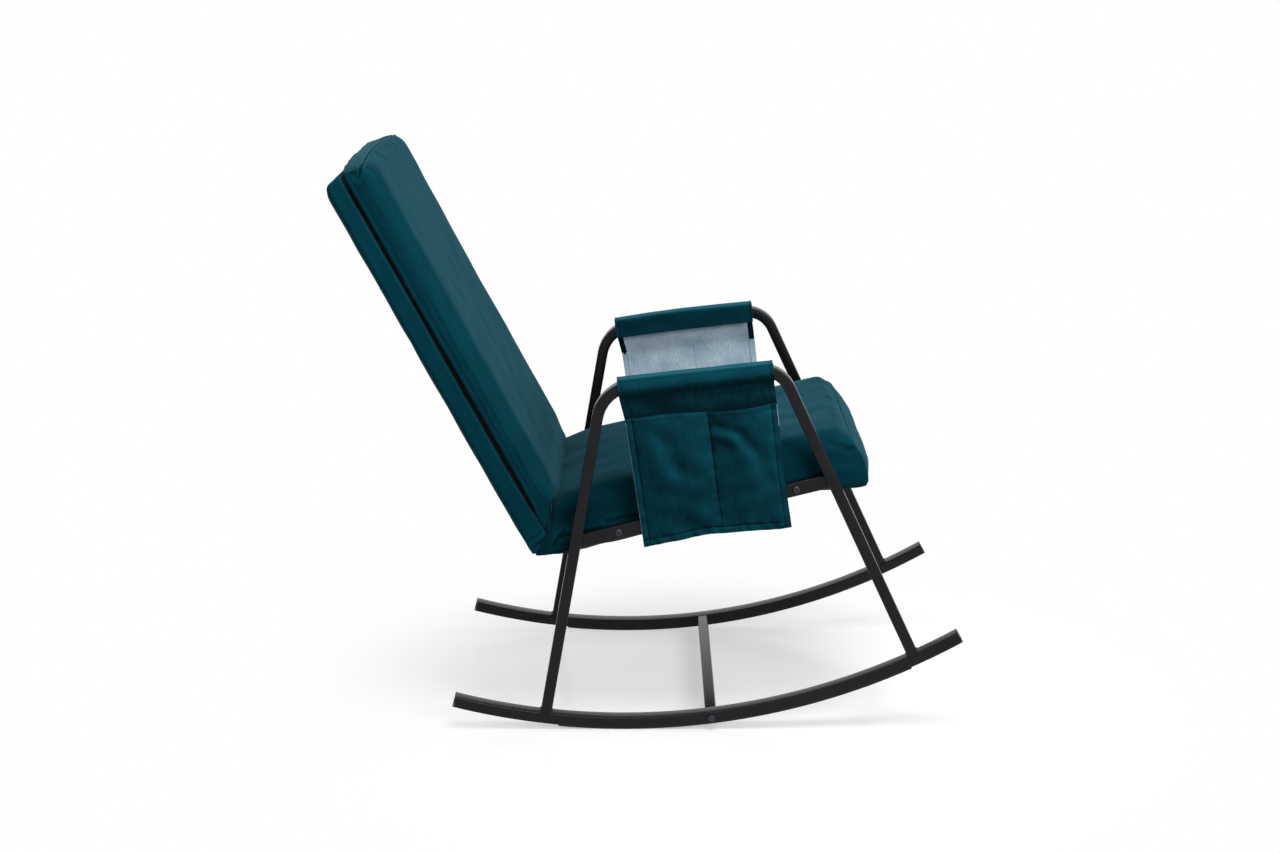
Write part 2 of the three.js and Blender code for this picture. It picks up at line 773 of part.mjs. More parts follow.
function panelGeometry(shift) {
  return hung(panelSheet(0), shift);
}

// The patch is stitched on at its sides, middle and foot, and stands off between as two pockets.
function pocketGeometry(shift) {
  const near = clothThickness;
  const far = near + pocketDepth + pocketSkin;
  const bottom = panelDrop - clothThickness;
  const body = clothSheet(near, far, pocketTop, bottom, clothSteps, clothThickness);
  const middle = panelForward + panelWidth / 2;
  const rooms = [
    [panelForward + clothThickness + pocketSeam, middle - pocketSeam / 2],
    [middle + pocketSeam / 2, panelWidth - clothThickness - pocketSeam],
  ].map(([from, to]) =>
    boxAt(
      new THREE.Vector3(from, panelY - near - pocketDepth, pocketFloor - hingeDrop - bottom),
      new THREE.Vector3(to, sleeveOuterY, overrun - hingeDrop - pocketTop),
    ),
  );
  return hung(cut(body, [panelSheet(clearance), ...rooms]), shift);
}

// Assembly

const root = new THREE.Group();
root.name = "rocking_chair";
const chair = new THREE.Group();
root.add(chair);

function addPiece(parent, name, geometry, material) {
  const mesh = new THREE.Mesh(geometry, material);
  mesh.name = name;
  parent.add(mesh);
}

// One seat strap lies behind the rear bolts and the others between the bolts.
const seatStrapPlaces = [
  (crossTubes.seat_rear_tube[1] + rearSeatBolt) / 2,
  ...spread(seatStraps - 1, rearSeatBolt, frontSeatBolt),
];
const lowerBack = spread(2, backFootCut, crossTubes.back_middle_tube[1]);
const upperBack = spread(backStraps - 2, crossTubes.back_middle_tube[1], crossTubes.back_top_tube[1]);

const rightPieces = [
  ["leg_hoop", hoopGeometry(), powderCoat],
  ["runner", runnerGeometry(), powderCoat],
  ["seat_rail", railGeometry(), powderCoat],
  ["glide_strip", stripGeometry(), blackPlastic],
  ["rear_plug", plugGeometry(runnerPoints[0], runnerPoints[1]), blackPlastic],
  ["front_plug", plugGeometry(runnerPoints.at(-1), runnerPoints.at(-2)), blackPlastic],
  ["seat_back_member", memberGeometry(), powderCoat],
  ["rear_seat_bolt", seatBoltGeometry(rearSeatBolt), zincSteel],
  ["front_seat_bolt", seatBoltGeometry(frontSeatBolt), zincSteel],
  ["rear_spacer", spacerGeometry(rearSeatBolt), blackPlastic],
  ["front_spacer", spacerGeometry(frontSeatBolt), blackPlastic],
  ["rear_seat_nut", nutGeometry(rearSeatBolt), zincSteel],
  ["front_seat_nut", nutGeometry(frontSeatBolt), zincSteel],
  ["crossbar_insert", insertGeometry(), zincSteel],
  ["crossbar_bolt", crossbarBoltGeometry(), zincSteel],
];

function organiserPieces(shift) {
  return [
    ["organiser_sleeve", sleeveGeometry(shift), velvet],
    ["organiser_panel", panelGeometry(shift), velvet],
    ["organiser_pockets", pocketGeometry(shift), velvet],
  ];
}

for (const [side, flip, shift] of [["right", 1, 0], ["left", -1, leftSleeveShift]]) {
  const group = new THREE.Group();
  group.scale.y = flip;
  for (const [name, geometry, material] of [...rightPieces, ...organiserPieces(shift)])
    addPiece(group, side + "_" + name, geometry, material);
  chair.add(group);
}

addPiece(chair, "lower_crossbar", crossbarGeometry(), powderCoat);
for (const [name, [frame, along]] of Object.entries(crossTubes))
  addPiece(chair, name, crossTubeGeometry(frame, along), powderCoat);
seatStrapPlaces.forEach((along, i) =>
  addPiece(chair, "seat_strap_" + (i + 1), strapGeometry(seatFrame, along), webbing),
);
[...lowerBack, ...upperBack].forEach((along, i) =>
  addPiece(chair, "back_strap_" + (i + 1), strapGeometry(backFrame, along), webbing),
);

const hard = hardFrame();
const underside = undersideBody(clearance);
const rearPanel = rearPanelBody(clearance);
const backCushion = backCushionBody(clearance);
addPiece(chair, "seat_underside_pad", cut(undersideBody(0), hard), velvet);
addPiece(chair, "back_rear_panel", cut(rearPanelBody(0), [...hard, underside]), velvet);
addPiece(chair, "back_cushion", cut(backCushionBody(0), [...hard, rearPanel]), velvet);
addPiece(
  chair,
  "seat_cushion",
  cut(seatCushionBody(), [...hard, underside, rearPanel, backCushion, backSlit()]),
  velvet,
);

// The chair stands on the floor, centred over the origin.
const bounds = new THREE.Box3().setFromObject(chair);
chair.position.set(-(bounds.min.x + bounds.max.x) / 2, 0, -bounds.min.z);

export default root;
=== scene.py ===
# Rocking chair: two bent tube side frames on curved runners, a velvet seat and back bolted between them,
# and an organiser with two pockets hung over each arm. Metres; +X is the chair's front and +Y its left.
import json
import math
import bpy
import numpy as np
from mathutils import Matrix, Vector, noise
from mathutils.bvhtree import BVHTree


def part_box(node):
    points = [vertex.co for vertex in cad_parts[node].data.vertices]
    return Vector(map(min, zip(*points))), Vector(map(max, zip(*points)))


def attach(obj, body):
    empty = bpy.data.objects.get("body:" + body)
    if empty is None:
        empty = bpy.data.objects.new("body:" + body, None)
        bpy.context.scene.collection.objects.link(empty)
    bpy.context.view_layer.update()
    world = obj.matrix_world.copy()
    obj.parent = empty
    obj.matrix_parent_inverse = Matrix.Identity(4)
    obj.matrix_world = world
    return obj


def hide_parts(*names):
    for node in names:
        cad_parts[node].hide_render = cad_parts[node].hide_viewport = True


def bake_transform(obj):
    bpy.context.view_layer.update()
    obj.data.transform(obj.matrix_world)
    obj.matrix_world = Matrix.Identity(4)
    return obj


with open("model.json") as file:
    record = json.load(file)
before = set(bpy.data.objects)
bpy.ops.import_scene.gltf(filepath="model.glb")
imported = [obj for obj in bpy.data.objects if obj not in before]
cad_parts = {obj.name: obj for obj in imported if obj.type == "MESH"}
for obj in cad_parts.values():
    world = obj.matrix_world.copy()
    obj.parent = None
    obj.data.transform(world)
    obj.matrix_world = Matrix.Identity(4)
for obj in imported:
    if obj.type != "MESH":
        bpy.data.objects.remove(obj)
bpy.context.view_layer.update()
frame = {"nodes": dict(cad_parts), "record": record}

# Camera: a long lens square to the chair's right side, standing higher than the arms and looking down.
def new_object(name, data):
    """An object of the scene that shows a mesh, a curve, a lamp or a camera."""
    made = bpy.data.objects.new(name, data)
    bpy.context.scene.collection.objects.link(made)
    return made


camera_data = bpy.data.cameras.new("camera")
camera_data.sensor_width = 36
camera_data.lens = 61.85
camera = new_object("camera", camera_data)
camera.location = (-0.0202, -4.0775, 1.4987)
camera.rotation_euler = (math.radians(76.25), 0, 0)
bpy.context.scene.camera = camera
bpy.context.scene.view_settings.view_transform = "Standard"


# Studio: a wide painted floor, a white room and three soft lamps. The floor is matt white paint that
# keeps the chair's shadow, and the room shows white behind the chair and in whatever is glossy.
def linear(hex_colour):
    """A colour written as sRGB hex, in the linear values that shaders use."""
    shares = [int(hex_colour[i:i + 2], 16) / 255 for i in (1, 3, 5)]
    return [s / 12.92 if s <= 0.04045 else ((s + 0.055) / 1.055) ** 2.4 for s in shares] + [1]


def set_inputs(tree, node, inputs):
    """Sets a node's inputs: each is a value, or another node's output that is linked to it."""
    for name, value in dict(inputs).items():
        if isinstance(value, bpy.types.NodeSocket):
            tree.links.new(value, node.inputs[name])
        else:
            node.inputs[name].default_value = value


def add_node(tree, kind, inputs=(), **settings):
    """A shader node with its settings and links."""
    made = tree.nodes.new("ShaderNode" + kind)
    for name, value in settings.items():
        setattr(made, name, value)
    set_inputs(tree, made, inputs)
    return made


def empty_tree(owner):
    owner.use_nodes = True
    owner.node_tree.nodes.clear()
    return owner.node_tree


def seen_directly(tree):
    """1 for rays from the camera and in reflections, 0 for light that falls on things."""
    path = add_node(tree, "LightPath")
    either = add_node(tree, "Math", {0: path.outputs["Is Camera Ray"], 1: path.outputs["Is Glossy Ray"]},
                      operation="MAXIMUM")
    return add_node(tree, "Math", {0: either.outputs[0], 1: path.outputs["Is Transmission Ray"]},
                    operation="MAXIMUM").outputs[0]


def primitive(add, name, scale=(1, 1, 1), **options):
    """A mesh from one of Blender's primitives, with its size and place applied to its points."""
    bpy.ops.object.select_all(action="DESELECT")
    add(**options)
    made = bpy.context.object
    made.name = name
    made.scale = scale
    bpy.ops.object.transform_apply(location=True, rotation=True, scale=True)
    return made


room_light = 0.3
floor_size = 60
# Under the chair the floor shows its shade, and further out it is plain white.
patch_glow = 0.45
patch_shade = 0.62
patch_centre = (0.14, -0.1, 0)
patch_inner = 0.2
patch_outer = 0.95
gloss_share = 0.05

world = bpy.data.worlds.new("white room")
bpy.context.scene.world = world
tree = empty_tree(world)
lit = add_node(tree, "Background", {"Color": linear("#f4f9ff"), "Strength": room_light})
shown = add_node(tree, "Background", {"Color": linear("#ffffff"), "Strength": 1.0})
both = add_node(tree, "MixShader", {0: seen_directly(tree), 1: lit.outputs[0], 2: shown.outputs[0]})
add_node(tree, "OutputWorld", {"Surface": both.outputs[0]})

paint = bpy.data.materials.new("floor paint")
tree = empty_tree(paint)
matt = add_node(tree, "BsdfDiffuse", {"Color": linear("#b4b6b8")})
shadowed = add_node(tree, "BsdfDiffuse", {"Color": [patch_shade, patch_shade, patch_shade * 1.02, 1]})
gloss = add_node(tree, "BsdfGlossy", {"Color": linear("#ffffff"), "Roughness": 0.18})
satin = add_node(tree, "MixShader", {0: gloss_share, 1: shadowed.outputs[0], 2: gloss.outputs[0]})
glow = add_node(tree, "Emission", {"Color": linear("#ffffff"), "Strength": patch_glow})
patch = add_node(tree, "AddShader", {0: satin.outputs[0], 1: glow.outputs[0]})
plain = add_node(tree, "Emission", {"Color": linear("#ffffff"), "Strength": 1.0})
place = add_node(tree, "TexCoord").outputs["Object"]
distance = add_node(tree, "VectorMath", {0: place, 1: patch_centre}, operation="DISTANCE").outputs["Value"]
outward = add_node(tree, "MapRange", {"Value": distance, "From Min": patch_inner, "From Max": patch_outer},
                   interpolation_type="SMOOTHERSTEP").outputs[0]
bright = add_node(tree, "MixShader", {0: outward, 1: patch.outputs[0], 2: plain.outputs[0]})
both = add_node(tree, "MixShader", {0: seen_directly(tree), 1: matt.outputs[0], 2: bright.outputs[0]})
add_node(tree, "OutputMaterial", {"Surface": both.outputs[0]})

floor = primitive(bpy.ops.mesh.primitive_plane_add, "floor", size=floor_size)
floor.data.materials.append(paint)

lamp_aim = Vector((0, 0, 0.5))
for name, place, size, power in [
    ("top_lamp", (0.4, -1.0, 3.1), 1.4, 54),
    ("front_lamp", (3.4, 0.6, 2.2), 1.0, 26),
    ("near_lamp", (2.0, -3.2, 2.0), 1.3, 56),
]:
    lamp_data = bpy.data.lights.new(name, "AREA")
    lamp_data.size = size
    lamp_data.energy = power
    lamp = new_object(name, lamp_data)
    lamp.location = place
    lamp.rotation_euler = (lamp_aim - Vector(place)).to_track_quat("-Z", "Y").to_euler()


# Leg hoops: each side's rear leg, arm and front leg are one rectangular steel tube, bent twice on a
# mandrel, welded to the runner at both feet and powder coated near-black.
mm = 0.001
frame_width = 583 * mm
tube_face = 20 * mm
tube_depth = 30 * mm
tube_corner = 2.5 * mm
tube_gap = 0.3 * mm
runner_radius = 1231 * mm
rear_foot_angle = math.radians(6.8)
front_foot_angle = math.radians(25.75)
rear_leg_lean = math.radians(9.9)
front_leg_lean = math.radians(25)
arm_height = 640 * mm
arm_slope = math.radians(6.84)
hoop_bends = (70 * mm, 55 * mm)
bend_step = math.radians(5)
smooth_up_to = math.radians(40)
outer_y = -frame_width / 2
inner_y = outer_y + tube_depth
tube_middle_y = (outer_y + inner_y) / 2

# Side views are drawn from the runner tube's lowest point: x forward of it and z above its underside.
rest_x = frame["record"]["mounts"][0]["pos_m"][0]
runner_facet = math.radians(3.2)
under_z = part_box("right_runner")[0].z - runner_radius * (1 - math.cos(runner_facet / 2))


def side(point, y=0.0):
    """A point of the side view, in the row frame."""
    return Vector((rest_x + point[0], y, under_z + point[1]))


def heading(angle):
    """The direction at an angle over level, in the side view."""
    return Vector((math.cos(angle), math.sin(angle)))


def meet(a, heading_a, b, heading_b):
    """Where two lines of the side view cross."""
    along = (b - a).cross(heading_b) / heading_a.cross(heading_b)
    return a + heading_a * along


def on_runner(angle, up):
    """A point 'up' from the runner's underside, at an angle from its lowest point."""
    radius = runner_radius - up
    return Vector((radius * math.sin(angle), runner_radius - radius * math.cos(angle)))


def select_only(made):
    bpy.ops.object.select_all(action="DESELECT")
    made.select_set(True)
    bpy.context.view_layer.objects.active = made


def draw_section(name, centre, angle, face, depth, y, corner):
    """A tube's section as one face square to its heading, left in edit mode, ready to be drawn out."""
    made = primitive(bpy.ops.mesh.primitive_plane_add, name, (face, depth, 1), size=1,
                     location=side(centre, y), rotation=(0, math.pi / 2 - angle, 0))
    bpy.ops.object.mode_set(mode="EDIT")
    bpy.ops.mesh.select_all(action="SELECT")
    bpy.ops.mesh.bevel(offset=corner, segments=3, affect="VERTICES")
    return made


def draw_straight(along, length):
    """Draws the open section straight out."""
    value = (along[0] * length, 0, along[1] * length)
    bpy.ops.mesh.extrude_region_move(TRANSFORM_OT_translate={"value": value})


def draw_bend(centre, turn):
    """Draws the open section round a bend."""
    steps = max(3, round(abs(turn) / bend_step))
    bpy.ops.mesh.spin(steps=steps, angle=turn, center=side(centre), axis=(0, 1, 0))


def finish_edit(made):
    """Closes the mesh with its faces outward and its rounded edges shaded smooth."""
    bpy.ops.mesh.select_all(action="SELECT")
    bpy.ops.mesh.remove_doubles(threshold=0.01 * mm)
    bpy.ops.mesh.normals_make_consistent(inside=False)
    bpy.ops.object.mode_set(mode="OBJECT")
    select_only(made)
    bpy.ops.object.shade_smooth_by_angle(angle=smooth_up_to)


def draw_tube(name, corners, radii, face, depth, y, corner):
    """A rectangular tube through corners of the side view: its section is extruded and spun."""
    along = (corners[1] - corners[0]).normalized()
    here = corners[0]
    made = draw_section(name, here, math.atan2(along.y, along.x), face, depth, y, corner)
    for radius, bend, after in zip(radii, corners[1:], corners[2:]):
        onward = (after - bend).normalized()
        turn = math.atan2(along.cross(onward), along.dot(onward))
        trim = radius * math.tan(abs(turn) / 2)
        draw_straight(along, (bend - here).length - trim)
        inward = Vector((-along.y, along.x)) * math.copysign(radius, turn)
        draw_bend(bend - along * trim + inward, turn)
        here = bend + onward * trim
        along = onward
    draw_straight(along, (corners[-1] - here).length)
    return made


def trim_below(point, normal):
    """Cuts off what lies behind a plane of the side view and closes the cut."""
    bpy.ops.mesh.select_all(action="SELECT")
    bpy.ops.mesh.bisect(plane_co=side(point), plane_no=(normal[0], 0, normal[1]), use_fill=True,
                        clear_inner=True)


def other_side(made):
    """The same piece on the chair's left side, as a mesh of its own."""
    copy = new_object(made.name.replace("right", "left"), made.data.copy())
    copy.data.transform(Matrix.Scale(-1, 4, (0, 1, 0)))
    copy.data.flip_normals()
    return copy


def in_pair(made, finish, node=""):
    """Finishes a piece of the right side and its twin on the left, each in place of its side's node."""
    made.data.materials.append(finish)
    for hand, piece in [("right", made), ("left", other_side(made))]:
        if node:
            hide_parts(hand + "_" + node)
        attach(piece, "chair")


# Steel tube with polyester powder coat: sprayed dry and baked, so it is satin, near-black, and has a
# very fine even grain like orange peel that softens its highlights.
def new_material(name):
    made = bpy.data.materials.new(name)
    tree = empty_tree(made)
    shader = add_node(tree, "BsdfPrincipled")
    add_node(tree, "OutputMaterial", {"Surface": shader.outputs[0]})
    return made, tree, shader


def mottled(tree, spot, low, high, detail=3.0, stretch=(1, 1, 1)):
    """A soft random pattern between two colours, with spots of a real size."""
    place = add_node(tree, "TexCoord").outputs["Object"]
    scaled = add_node(tree, "Mapping", {"Vector": place, "Scale": stretch}).outputs[0]
    spots = add_node(tree, "TexNoise", {"Vector": scaled, "Scale": 1 / spot, "Detail": detail})
    ramp = add_node(tree, "ValToRGB", {"Fac": spots.outputs["Fac"]})
    for element, position, colour in zip(ramp.color_ramp.elements, (0.35, 0.65), (low, high)):
        element.position = position
        element.color = linear(colour)
    return ramp.outputs[0], spots.outputs["Fac"]


def plain_material(name, spot, low, high, inputs, detail=3.0, grain=None):
    """A finish that varies softly between two colours. A grain has its size, strength and depth."""
    made, tree, shader = new_material(name)
    colour, _ = mottled(tree, spot, low, high, detail)
    set_inputs(tree, shader, {"Base Color": colour, **inputs})
    if grain:
        size, strength, depth = grain
        heights = mottled(tree, size, "#000000", "#ffffff")[1]
        bump = add_node(tree, "Bump", {"Height": heights, "Strength": strength, "Distance": depth})
        set_inputs(tree, shader, {"Normal": bump.outputs[0]})
    return made


coat_grain = 1.6 * mm  # the real grain is 0.5 mm, drawn coarser so that it shows
powder_coat = plain_material("black powder coat", 60 * mm, "#0b0c0e", "#111215",
                             {"Roughness": 0.27, "IOR": 1.5, "Specular IOR Level": 0.19},
                             grain=(coat_grain, 0.25, 0.12 * mm))

rear_foot = on_runner(-rear_foot_angle, tube_face / 2)
front_foot = on_runner(front_foot_angle, tube_face / 2)
rear_leg = heading(math.pi / 2 - rear_leg_lean)
front_leg = heading(math.pi / 2 + front_leg_lean)
arm_start = Vector((0, arm_height))
hoop_corners = [
    rear_foot,
    meet(rear_foot, rear_leg, arm_start, heading(arm_slope)),
    meet(front_foot, front_leg, arm_start, heading(arm_slope)),
    front_foot,
]
hoop = draw_tube("right_hoop", hoop_corners, hoop_bends, tube_face, tube_depth, tube_middle_y, tube_corner)
for angle in (-rear_foot_angle, front_foot_angle):
    top = on_runner(angle, tube_face + tube_gap)
    trim_below(top, Vector((-math.sin(angle), math.cos(angle))))
finish_edit(hoop)
in_pair(hoop, powder_coat, "leg_hoop")

# Runners: the same tube rolled to one long curve, which the chair rocks on, with black nylon caps
# pressed into its open ends and a dark glide strip screwed under its middle.
runner_rear_angle = math.radians(14.67)
runner_front_angle = math.radians(29.94)
arc_step = math.radians(1)
arc_centre = Vector((0, runner_radius))


def draw_arc(name, from_angle, to_angle, up, face, depth, corner):
    """A strip or tube along the runner's curve, its section's middle 'up' from the tube's underside."""
    made = draw_section(name, on_runner(from_angle, up), from_angle, face, depth, tube_middle_y, corner)
    bpy.ops.mesh.spin(steps=round((to_angle - from_angle) / arc_step), angle=to_angle - from_angle,
                      center=side(arc_centre), axis=(0, 1, 0))
    finish_edit(made)
    return made


runner = draw_arc("right_runner_tube", -runner_rear_angle, runner_front_angle, tube_face / 2, tube_face,
                  tube_depth, tube_corner)
in_pair(runner, powder_coat, "runner")

strip_rear_angle = math.radians(5.6)
strip_front_angle = math.radians(25.2)
strip_gap = 0.1 * mm
strip_thickness = under_z - 2 * strip_gap
strip_depth = 26 * mm
strip_corner = 0.8 * mm

# Glide strip: extruded rubber, matt and a little dusty from the floor.
strip_rubber = plain_material("extruded black rubber", 18 * mm, "#121214", "#1d1d1f",
                              {"Roughness": 0.8, "IOR": 1.5}, 5.0)

strip = draw_arc("right_strip", -strip_rear_angle, strip_front_angle, -strip_gap - strip_thickness / 2,
                 strip_thickness, strip_depth, strip_corner)
in_pair(strip, strip_rubber, "glide_strip")

# Runner end caps: moulded nylon, a flat plate the size of the tube with softened edges, even and satin.
cap_plate = 2.5 * mm
cap_edge = 1.1 * mm
nylon_grain = 1.4 * mm
black_nylon = plain_material("moulded black nylon", 9 * mm, "#141416", "#1b1b1e",
                             {"Roughness": 0.5, "IOR": 1.53}, grain=(nylon_grain, 0.2, 0.08 * mm))


def modified(made, kind, **settings):
    """Applies a modifier to a mesh."""
    select_only(made)
    modifier = made.modifiers.new(kind, kind)
    for name, value in settings.items():
        setattr(modifier, name, value)
    bpy.ops.object.modifier_apply(modifier=modifier.name)


def bevelled(made, width, segments=3):
    """Rounds a mesh's sharp edges."""
    modified(made, "BEVEL", width=width, segments=segments, limit_method="ANGLE")
    bpy.ops.object.shade_smooth_by_angle(angle=smooth_up_to)


for end, angle, outward in [("rear", -runner_rear_angle, -1), ("front", runner_front_angle, 1)]:
    centre = on_runner(angle, tube_face / 2) + heading(angle) * outward * (cap_plate / 2 + tube_gap)
    cap = primitive(bpy.ops.mesh.primitive_cube_add, "right_" + end + "_cap",
                    (cap_plate, tube_depth, tube_face), size=1,
                    location=side(centre, tube_middle_y), rotation=(0, -angle, 0))
    bevelled(cap, cap_edge)
    in_pair(cap, black_nylon, end + "_plug")

# Seat rails: a flat tube a side, welded between the legs flush with their inner faces. The seat hangs
# between the two rails on its bolts.
rail_tall = 25 * mm
rail_depth = 20 * mm
rail_height = 373 * mm
rail_slope = math.radians(14.12)
rail_start = Vector((0, rail_height))
rail_y = inner_y - rail_depth / 2
rail_heading = heading(rail_slope)
rear_meeting = meet(rear_foot, rear_leg, rail_start, rail_heading)
front_meeting = meet(front_foot, front_leg, rail_start, rail_heading)
rail = draw_tube("right_rail", [rear_meeting, front_meeting], [], rail_tall, rail_depth, rail_y, tube_corner)
leg_face = tube_face / 2 + tube_gap
rear_side = Vector((rear_leg.y, -rear_leg.x))
front_side = Vector((-front_leg.y, front_leg.x))
trim_below(rear_foot + rear_side * leg_face, rear_side)
trim_below(front_foot + front_side * leg_face, front_side)
finish_edit(rail)
in_pair(rail, powder_coat, "seat_rail")

# Weld beads: a rippled seam of weld metal round each rail end and across each foot, coated with the
# tubes. They are part of the frame's steel.
weld_radius = 2.0 * mm
weld_ripple = 3.0 * mm
ripple_shares = (0.85, 1.12)  # of the bead's radius, in turn along it


def weld_bead(name, points, closed):
    """A round bead along points of the row frame, with the ripples of a hand weld."""
    curve = bpy.data.curves.new(name, "CURVE")
    curve.dimensions = "3D"
    curve.bevel_depth = weld_radius
    curve.bevel_resolution = 2
    curve.use_fill_caps = True
    line = curve.splines.new("POLY")
    ends = points + points[:1] if closed else points
    fine = []
    for a, b in zip(ends, ends[1:]):
        count = max(2, round((b - a).length / (weld_ripple / 2)))
        fine += [a.lerp(b, i / count) for i in range(count)]
    if not closed:
        fine.append(ends[-1])
    line.points.add(len(fine) - 1)
    for i, (point, place) in enumerate(zip(line.points, fine)):
        point.co = (*place, 1)
        point.radius = ripple_shares[i % 2]
    line.use_cyclic_u = closed
    select_only(new_object(name, curve))
    bpy.ops.object.convert(target="MESH")
    bpy.ops.object.shade_smooth()
    return bpy.context.object


beads = []
for end, foot, leg, beside in [("rear", rear_foot, rear_leg, rear_side),
                               ("front", front_foot, front_leg, front_side)]:
    corners = []
    for up in (rail_tall / 2, -rail_tall / 2):
        edge = rail_start + Vector((-rail_heading.y, rail_heading.x)) * up
        corners.append(meet(foot + beside * tube_face / 2, leg, edge, rail_heading))
    loop = [side(corners[i], y) for i, y in [(0, inner_y - rail_depth), (1, inner_y - rail_depth),
                                             (1, inner_y), (0, inner_y)]]
    beads.append(weld_bead("right_" + end + "_rail_weld", loop, True))
for end, angle, leg in [("rear", -rear_foot_angle, rear_leg), ("front", front_foot_angle, front_leg)]:
    foot = on_runner(angle, tube_face / 2)
    for place, hand in [("behind", 1), ("before", -1)]:
        edge = foot + Vector((-leg.y, leg.x)) * hand * tube_face / 2
        corner = meet(edge, leg, on_runner(angle, tube_face), heading(angle))
        ends = [side(corner, outer_y + tube_corner), side(corner, inner_y - tube_corner)]
        beads.append(weld_bead("right_" + end + "_foot_weld_" + place, ends, False))
for bead in beads:
    in_pair(bead, powder_coat)

# Crossbar: a square tube that holds the runners apart, with a threaded steel insert in each end and a
# hex bolt through each runner.
crossbar_size = 20 * mm
crossbar_corner = 2.2 * mm
crossbar_angle = math.radians(7.53)
crossbar_centre = on_runner(crossbar_angle, tube_face / 2)
crossbar = primitive(bpy.ops.mesh.primitive_cube_add, "crossbar",
                     (crossbar_size, -2 * (inner_y + tube_gap), crossbar_size),
                     size=1, location=side(crossbar_centre), rotation=(0, -crossbar_angle, 0))
bevelled(crossbar, crossbar_corner)
crossbar.data.materials.append(powder_coat)
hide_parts("lower_crossbar")
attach(crossbar, "chair")

# Bolts: blackened steel. Button heads with a hex socket hold the seat to the rails; a plain hex head
# holds the crossbar.
bolt_radius = 4 * mm
button_radius = 7 * mm
button_height = 4 * mm
button_round_share = 0.8
socket_across = 5 * mm
socket_depth = 2.5 * mm
hex_across = 13 * mm
hex_height = 5.3 * mm
hex_corner = 0.8 * mm
head_smooth = math.radians(30)
bolt_places = {"rear": -9 * mm, "front": 319 * mm}

blackened_steel = plain_material("blackened steel", 3 * mm, "#2d2d31", "#3f3f44",
                                 {"Metallic": 0.8, "Roughness": 0.4}, 5.0)


def across_cylinder(name, centre, radius, length, sides):
    """A cylinder or prism that lies across the chair."""
    return primitive(bpy.ops.mesh.primitive_cylinder_add, name, vertices=sides, radius=radius, depth=length,
                     location=centre, rotation=(math.pi / 2, 0, 0))


def combine(made, tool, operation):
    """Cuts or joins one mesh with another, which is used up."""
    modified(made, "BOOLEAN", object=tool, operation=operation, solver="EXACT")
    bpy.data.objects.remove(tool)


def add_shank(bolt, centre, face, shank_end):
    """Joins a bolt's shank to its head, from inside the head to the shank's end."""
    shank = across_cylinder("shank", centre + Vector((0, (face - mm + shank_end) / 2, 0)), bolt_radius,
                            shank_end - face + mm, 24)
    combine(bolt, shank, "UNION")
    select_only(bolt)
    bpy.ops.object.shade_smooth_by_angle(angle=head_smooth)


for end, along in bolt_places.items():
    centre = side(rail_start + rail_heading * along)
    face = inner_y - rail_depth - tube_gap
    shank_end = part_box("right_" + end + "_seat_bolt")[1].y
    bolt = across_cylinder("right_" + end + "_bolt", centre + Vector((0, face - button_height / 2, 0)),
                           button_radius, button_height, 32)
    bpy.ops.object.mode_set(mode="EDIT")
    bpy.ops.mesh.select_all(action="DESELECT")
    bpy.ops.object.mode_set(mode="OBJECT")
    outermost = face - button_height * 0.9
    for edge in bolt.data.edges:
        edge.select = all(bolt.data.vertices[v].co.y < outermost for v in edge.vertices)
    bpy.ops.object.mode_set(mode="EDIT")
    bpy.ops.mesh.bevel(offset=button_height * button_round_share, segments=6, affect="EDGES")
    bpy.ops.object.mode_set(mode="OBJECT")
    socket = across_cylinder("socket", centre + Vector((0, face - button_height, 0)),
                             socket_across / math.sqrt(3), 2 * socket_depth, 6)
    combine(bolt, socket, "DIFFERENCE")
    add_shank(bolt, centre, face, shank_end)
    in_pair(bolt, blackened_steel, end + "_seat_bolt")

face = outer_y - tube_gap
shank_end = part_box("right_crossbar_bolt")[1].y
head_centre = side(crossbar_centre) + Vector((0, face - hex_height / 2, 0))
bolt = across_cylinder("right_runner_bolt", head_centre, hex_across / math.sqrt(3), hex_height, 6)
bevelled(bolt, hex_corner, 2)
add_shank(bolt, side(crossbar_centre), face, shank_end)
in_pair(bolt, blackened_steel, "crossbar_bolt")

# Inside the upholstery: black coated square tubes, woven polypropylene webbing stretched between them, and
# the bolts' nylon spacers, nuts and inserts. These keep their frame shapes and get their finishes here.
webbing_rib = 1.5 * mm
wave_run = 0.31  # a wave pattern of scale 1 repeats about every 0.31 m
webbing, tree, shader = new_material("woven polypropylene webbing")
place = add_node(tree, "TexCoord").outputs["Object"]
ribs = add_node(tree, "TexWave", {"Vector": place, "Scale": wave_run / webbing_rib, "Distortion": 0.4,
                                  "Detail": 1.0}, bands_direction="Y")
ramp = add_node(tree, "ValToRGB", {"Fac": ribs.outputs["Fac"]})
ramp.color_ramp.elements[0].color = linear("#0f0f10")
ramp.color_ramp.elements[1].color = linear("#27272a")
bump = add_node(tree, "Bump", {"Height": ribs.outputs["Fac"], "Strength": 0.5, "Distance": 0.4 * mm})
set_inputs(tree, shader, {"Base Color": ramp.outputs[0], "Roughness": 0.75, "Normal": bump.outputs[0]})

# The tubes inside the covers have a thin matt black coat, painted near-black here as the deep shade behind
# the slits.
black_coat_with_slit_shade = plain_material("thin matt black coat", 40 * mm, "#060607", "#0a0a0b",
                              {"Roughness": 0.8, "IOR": 1.5, "Specular IOR Level": 0.1})

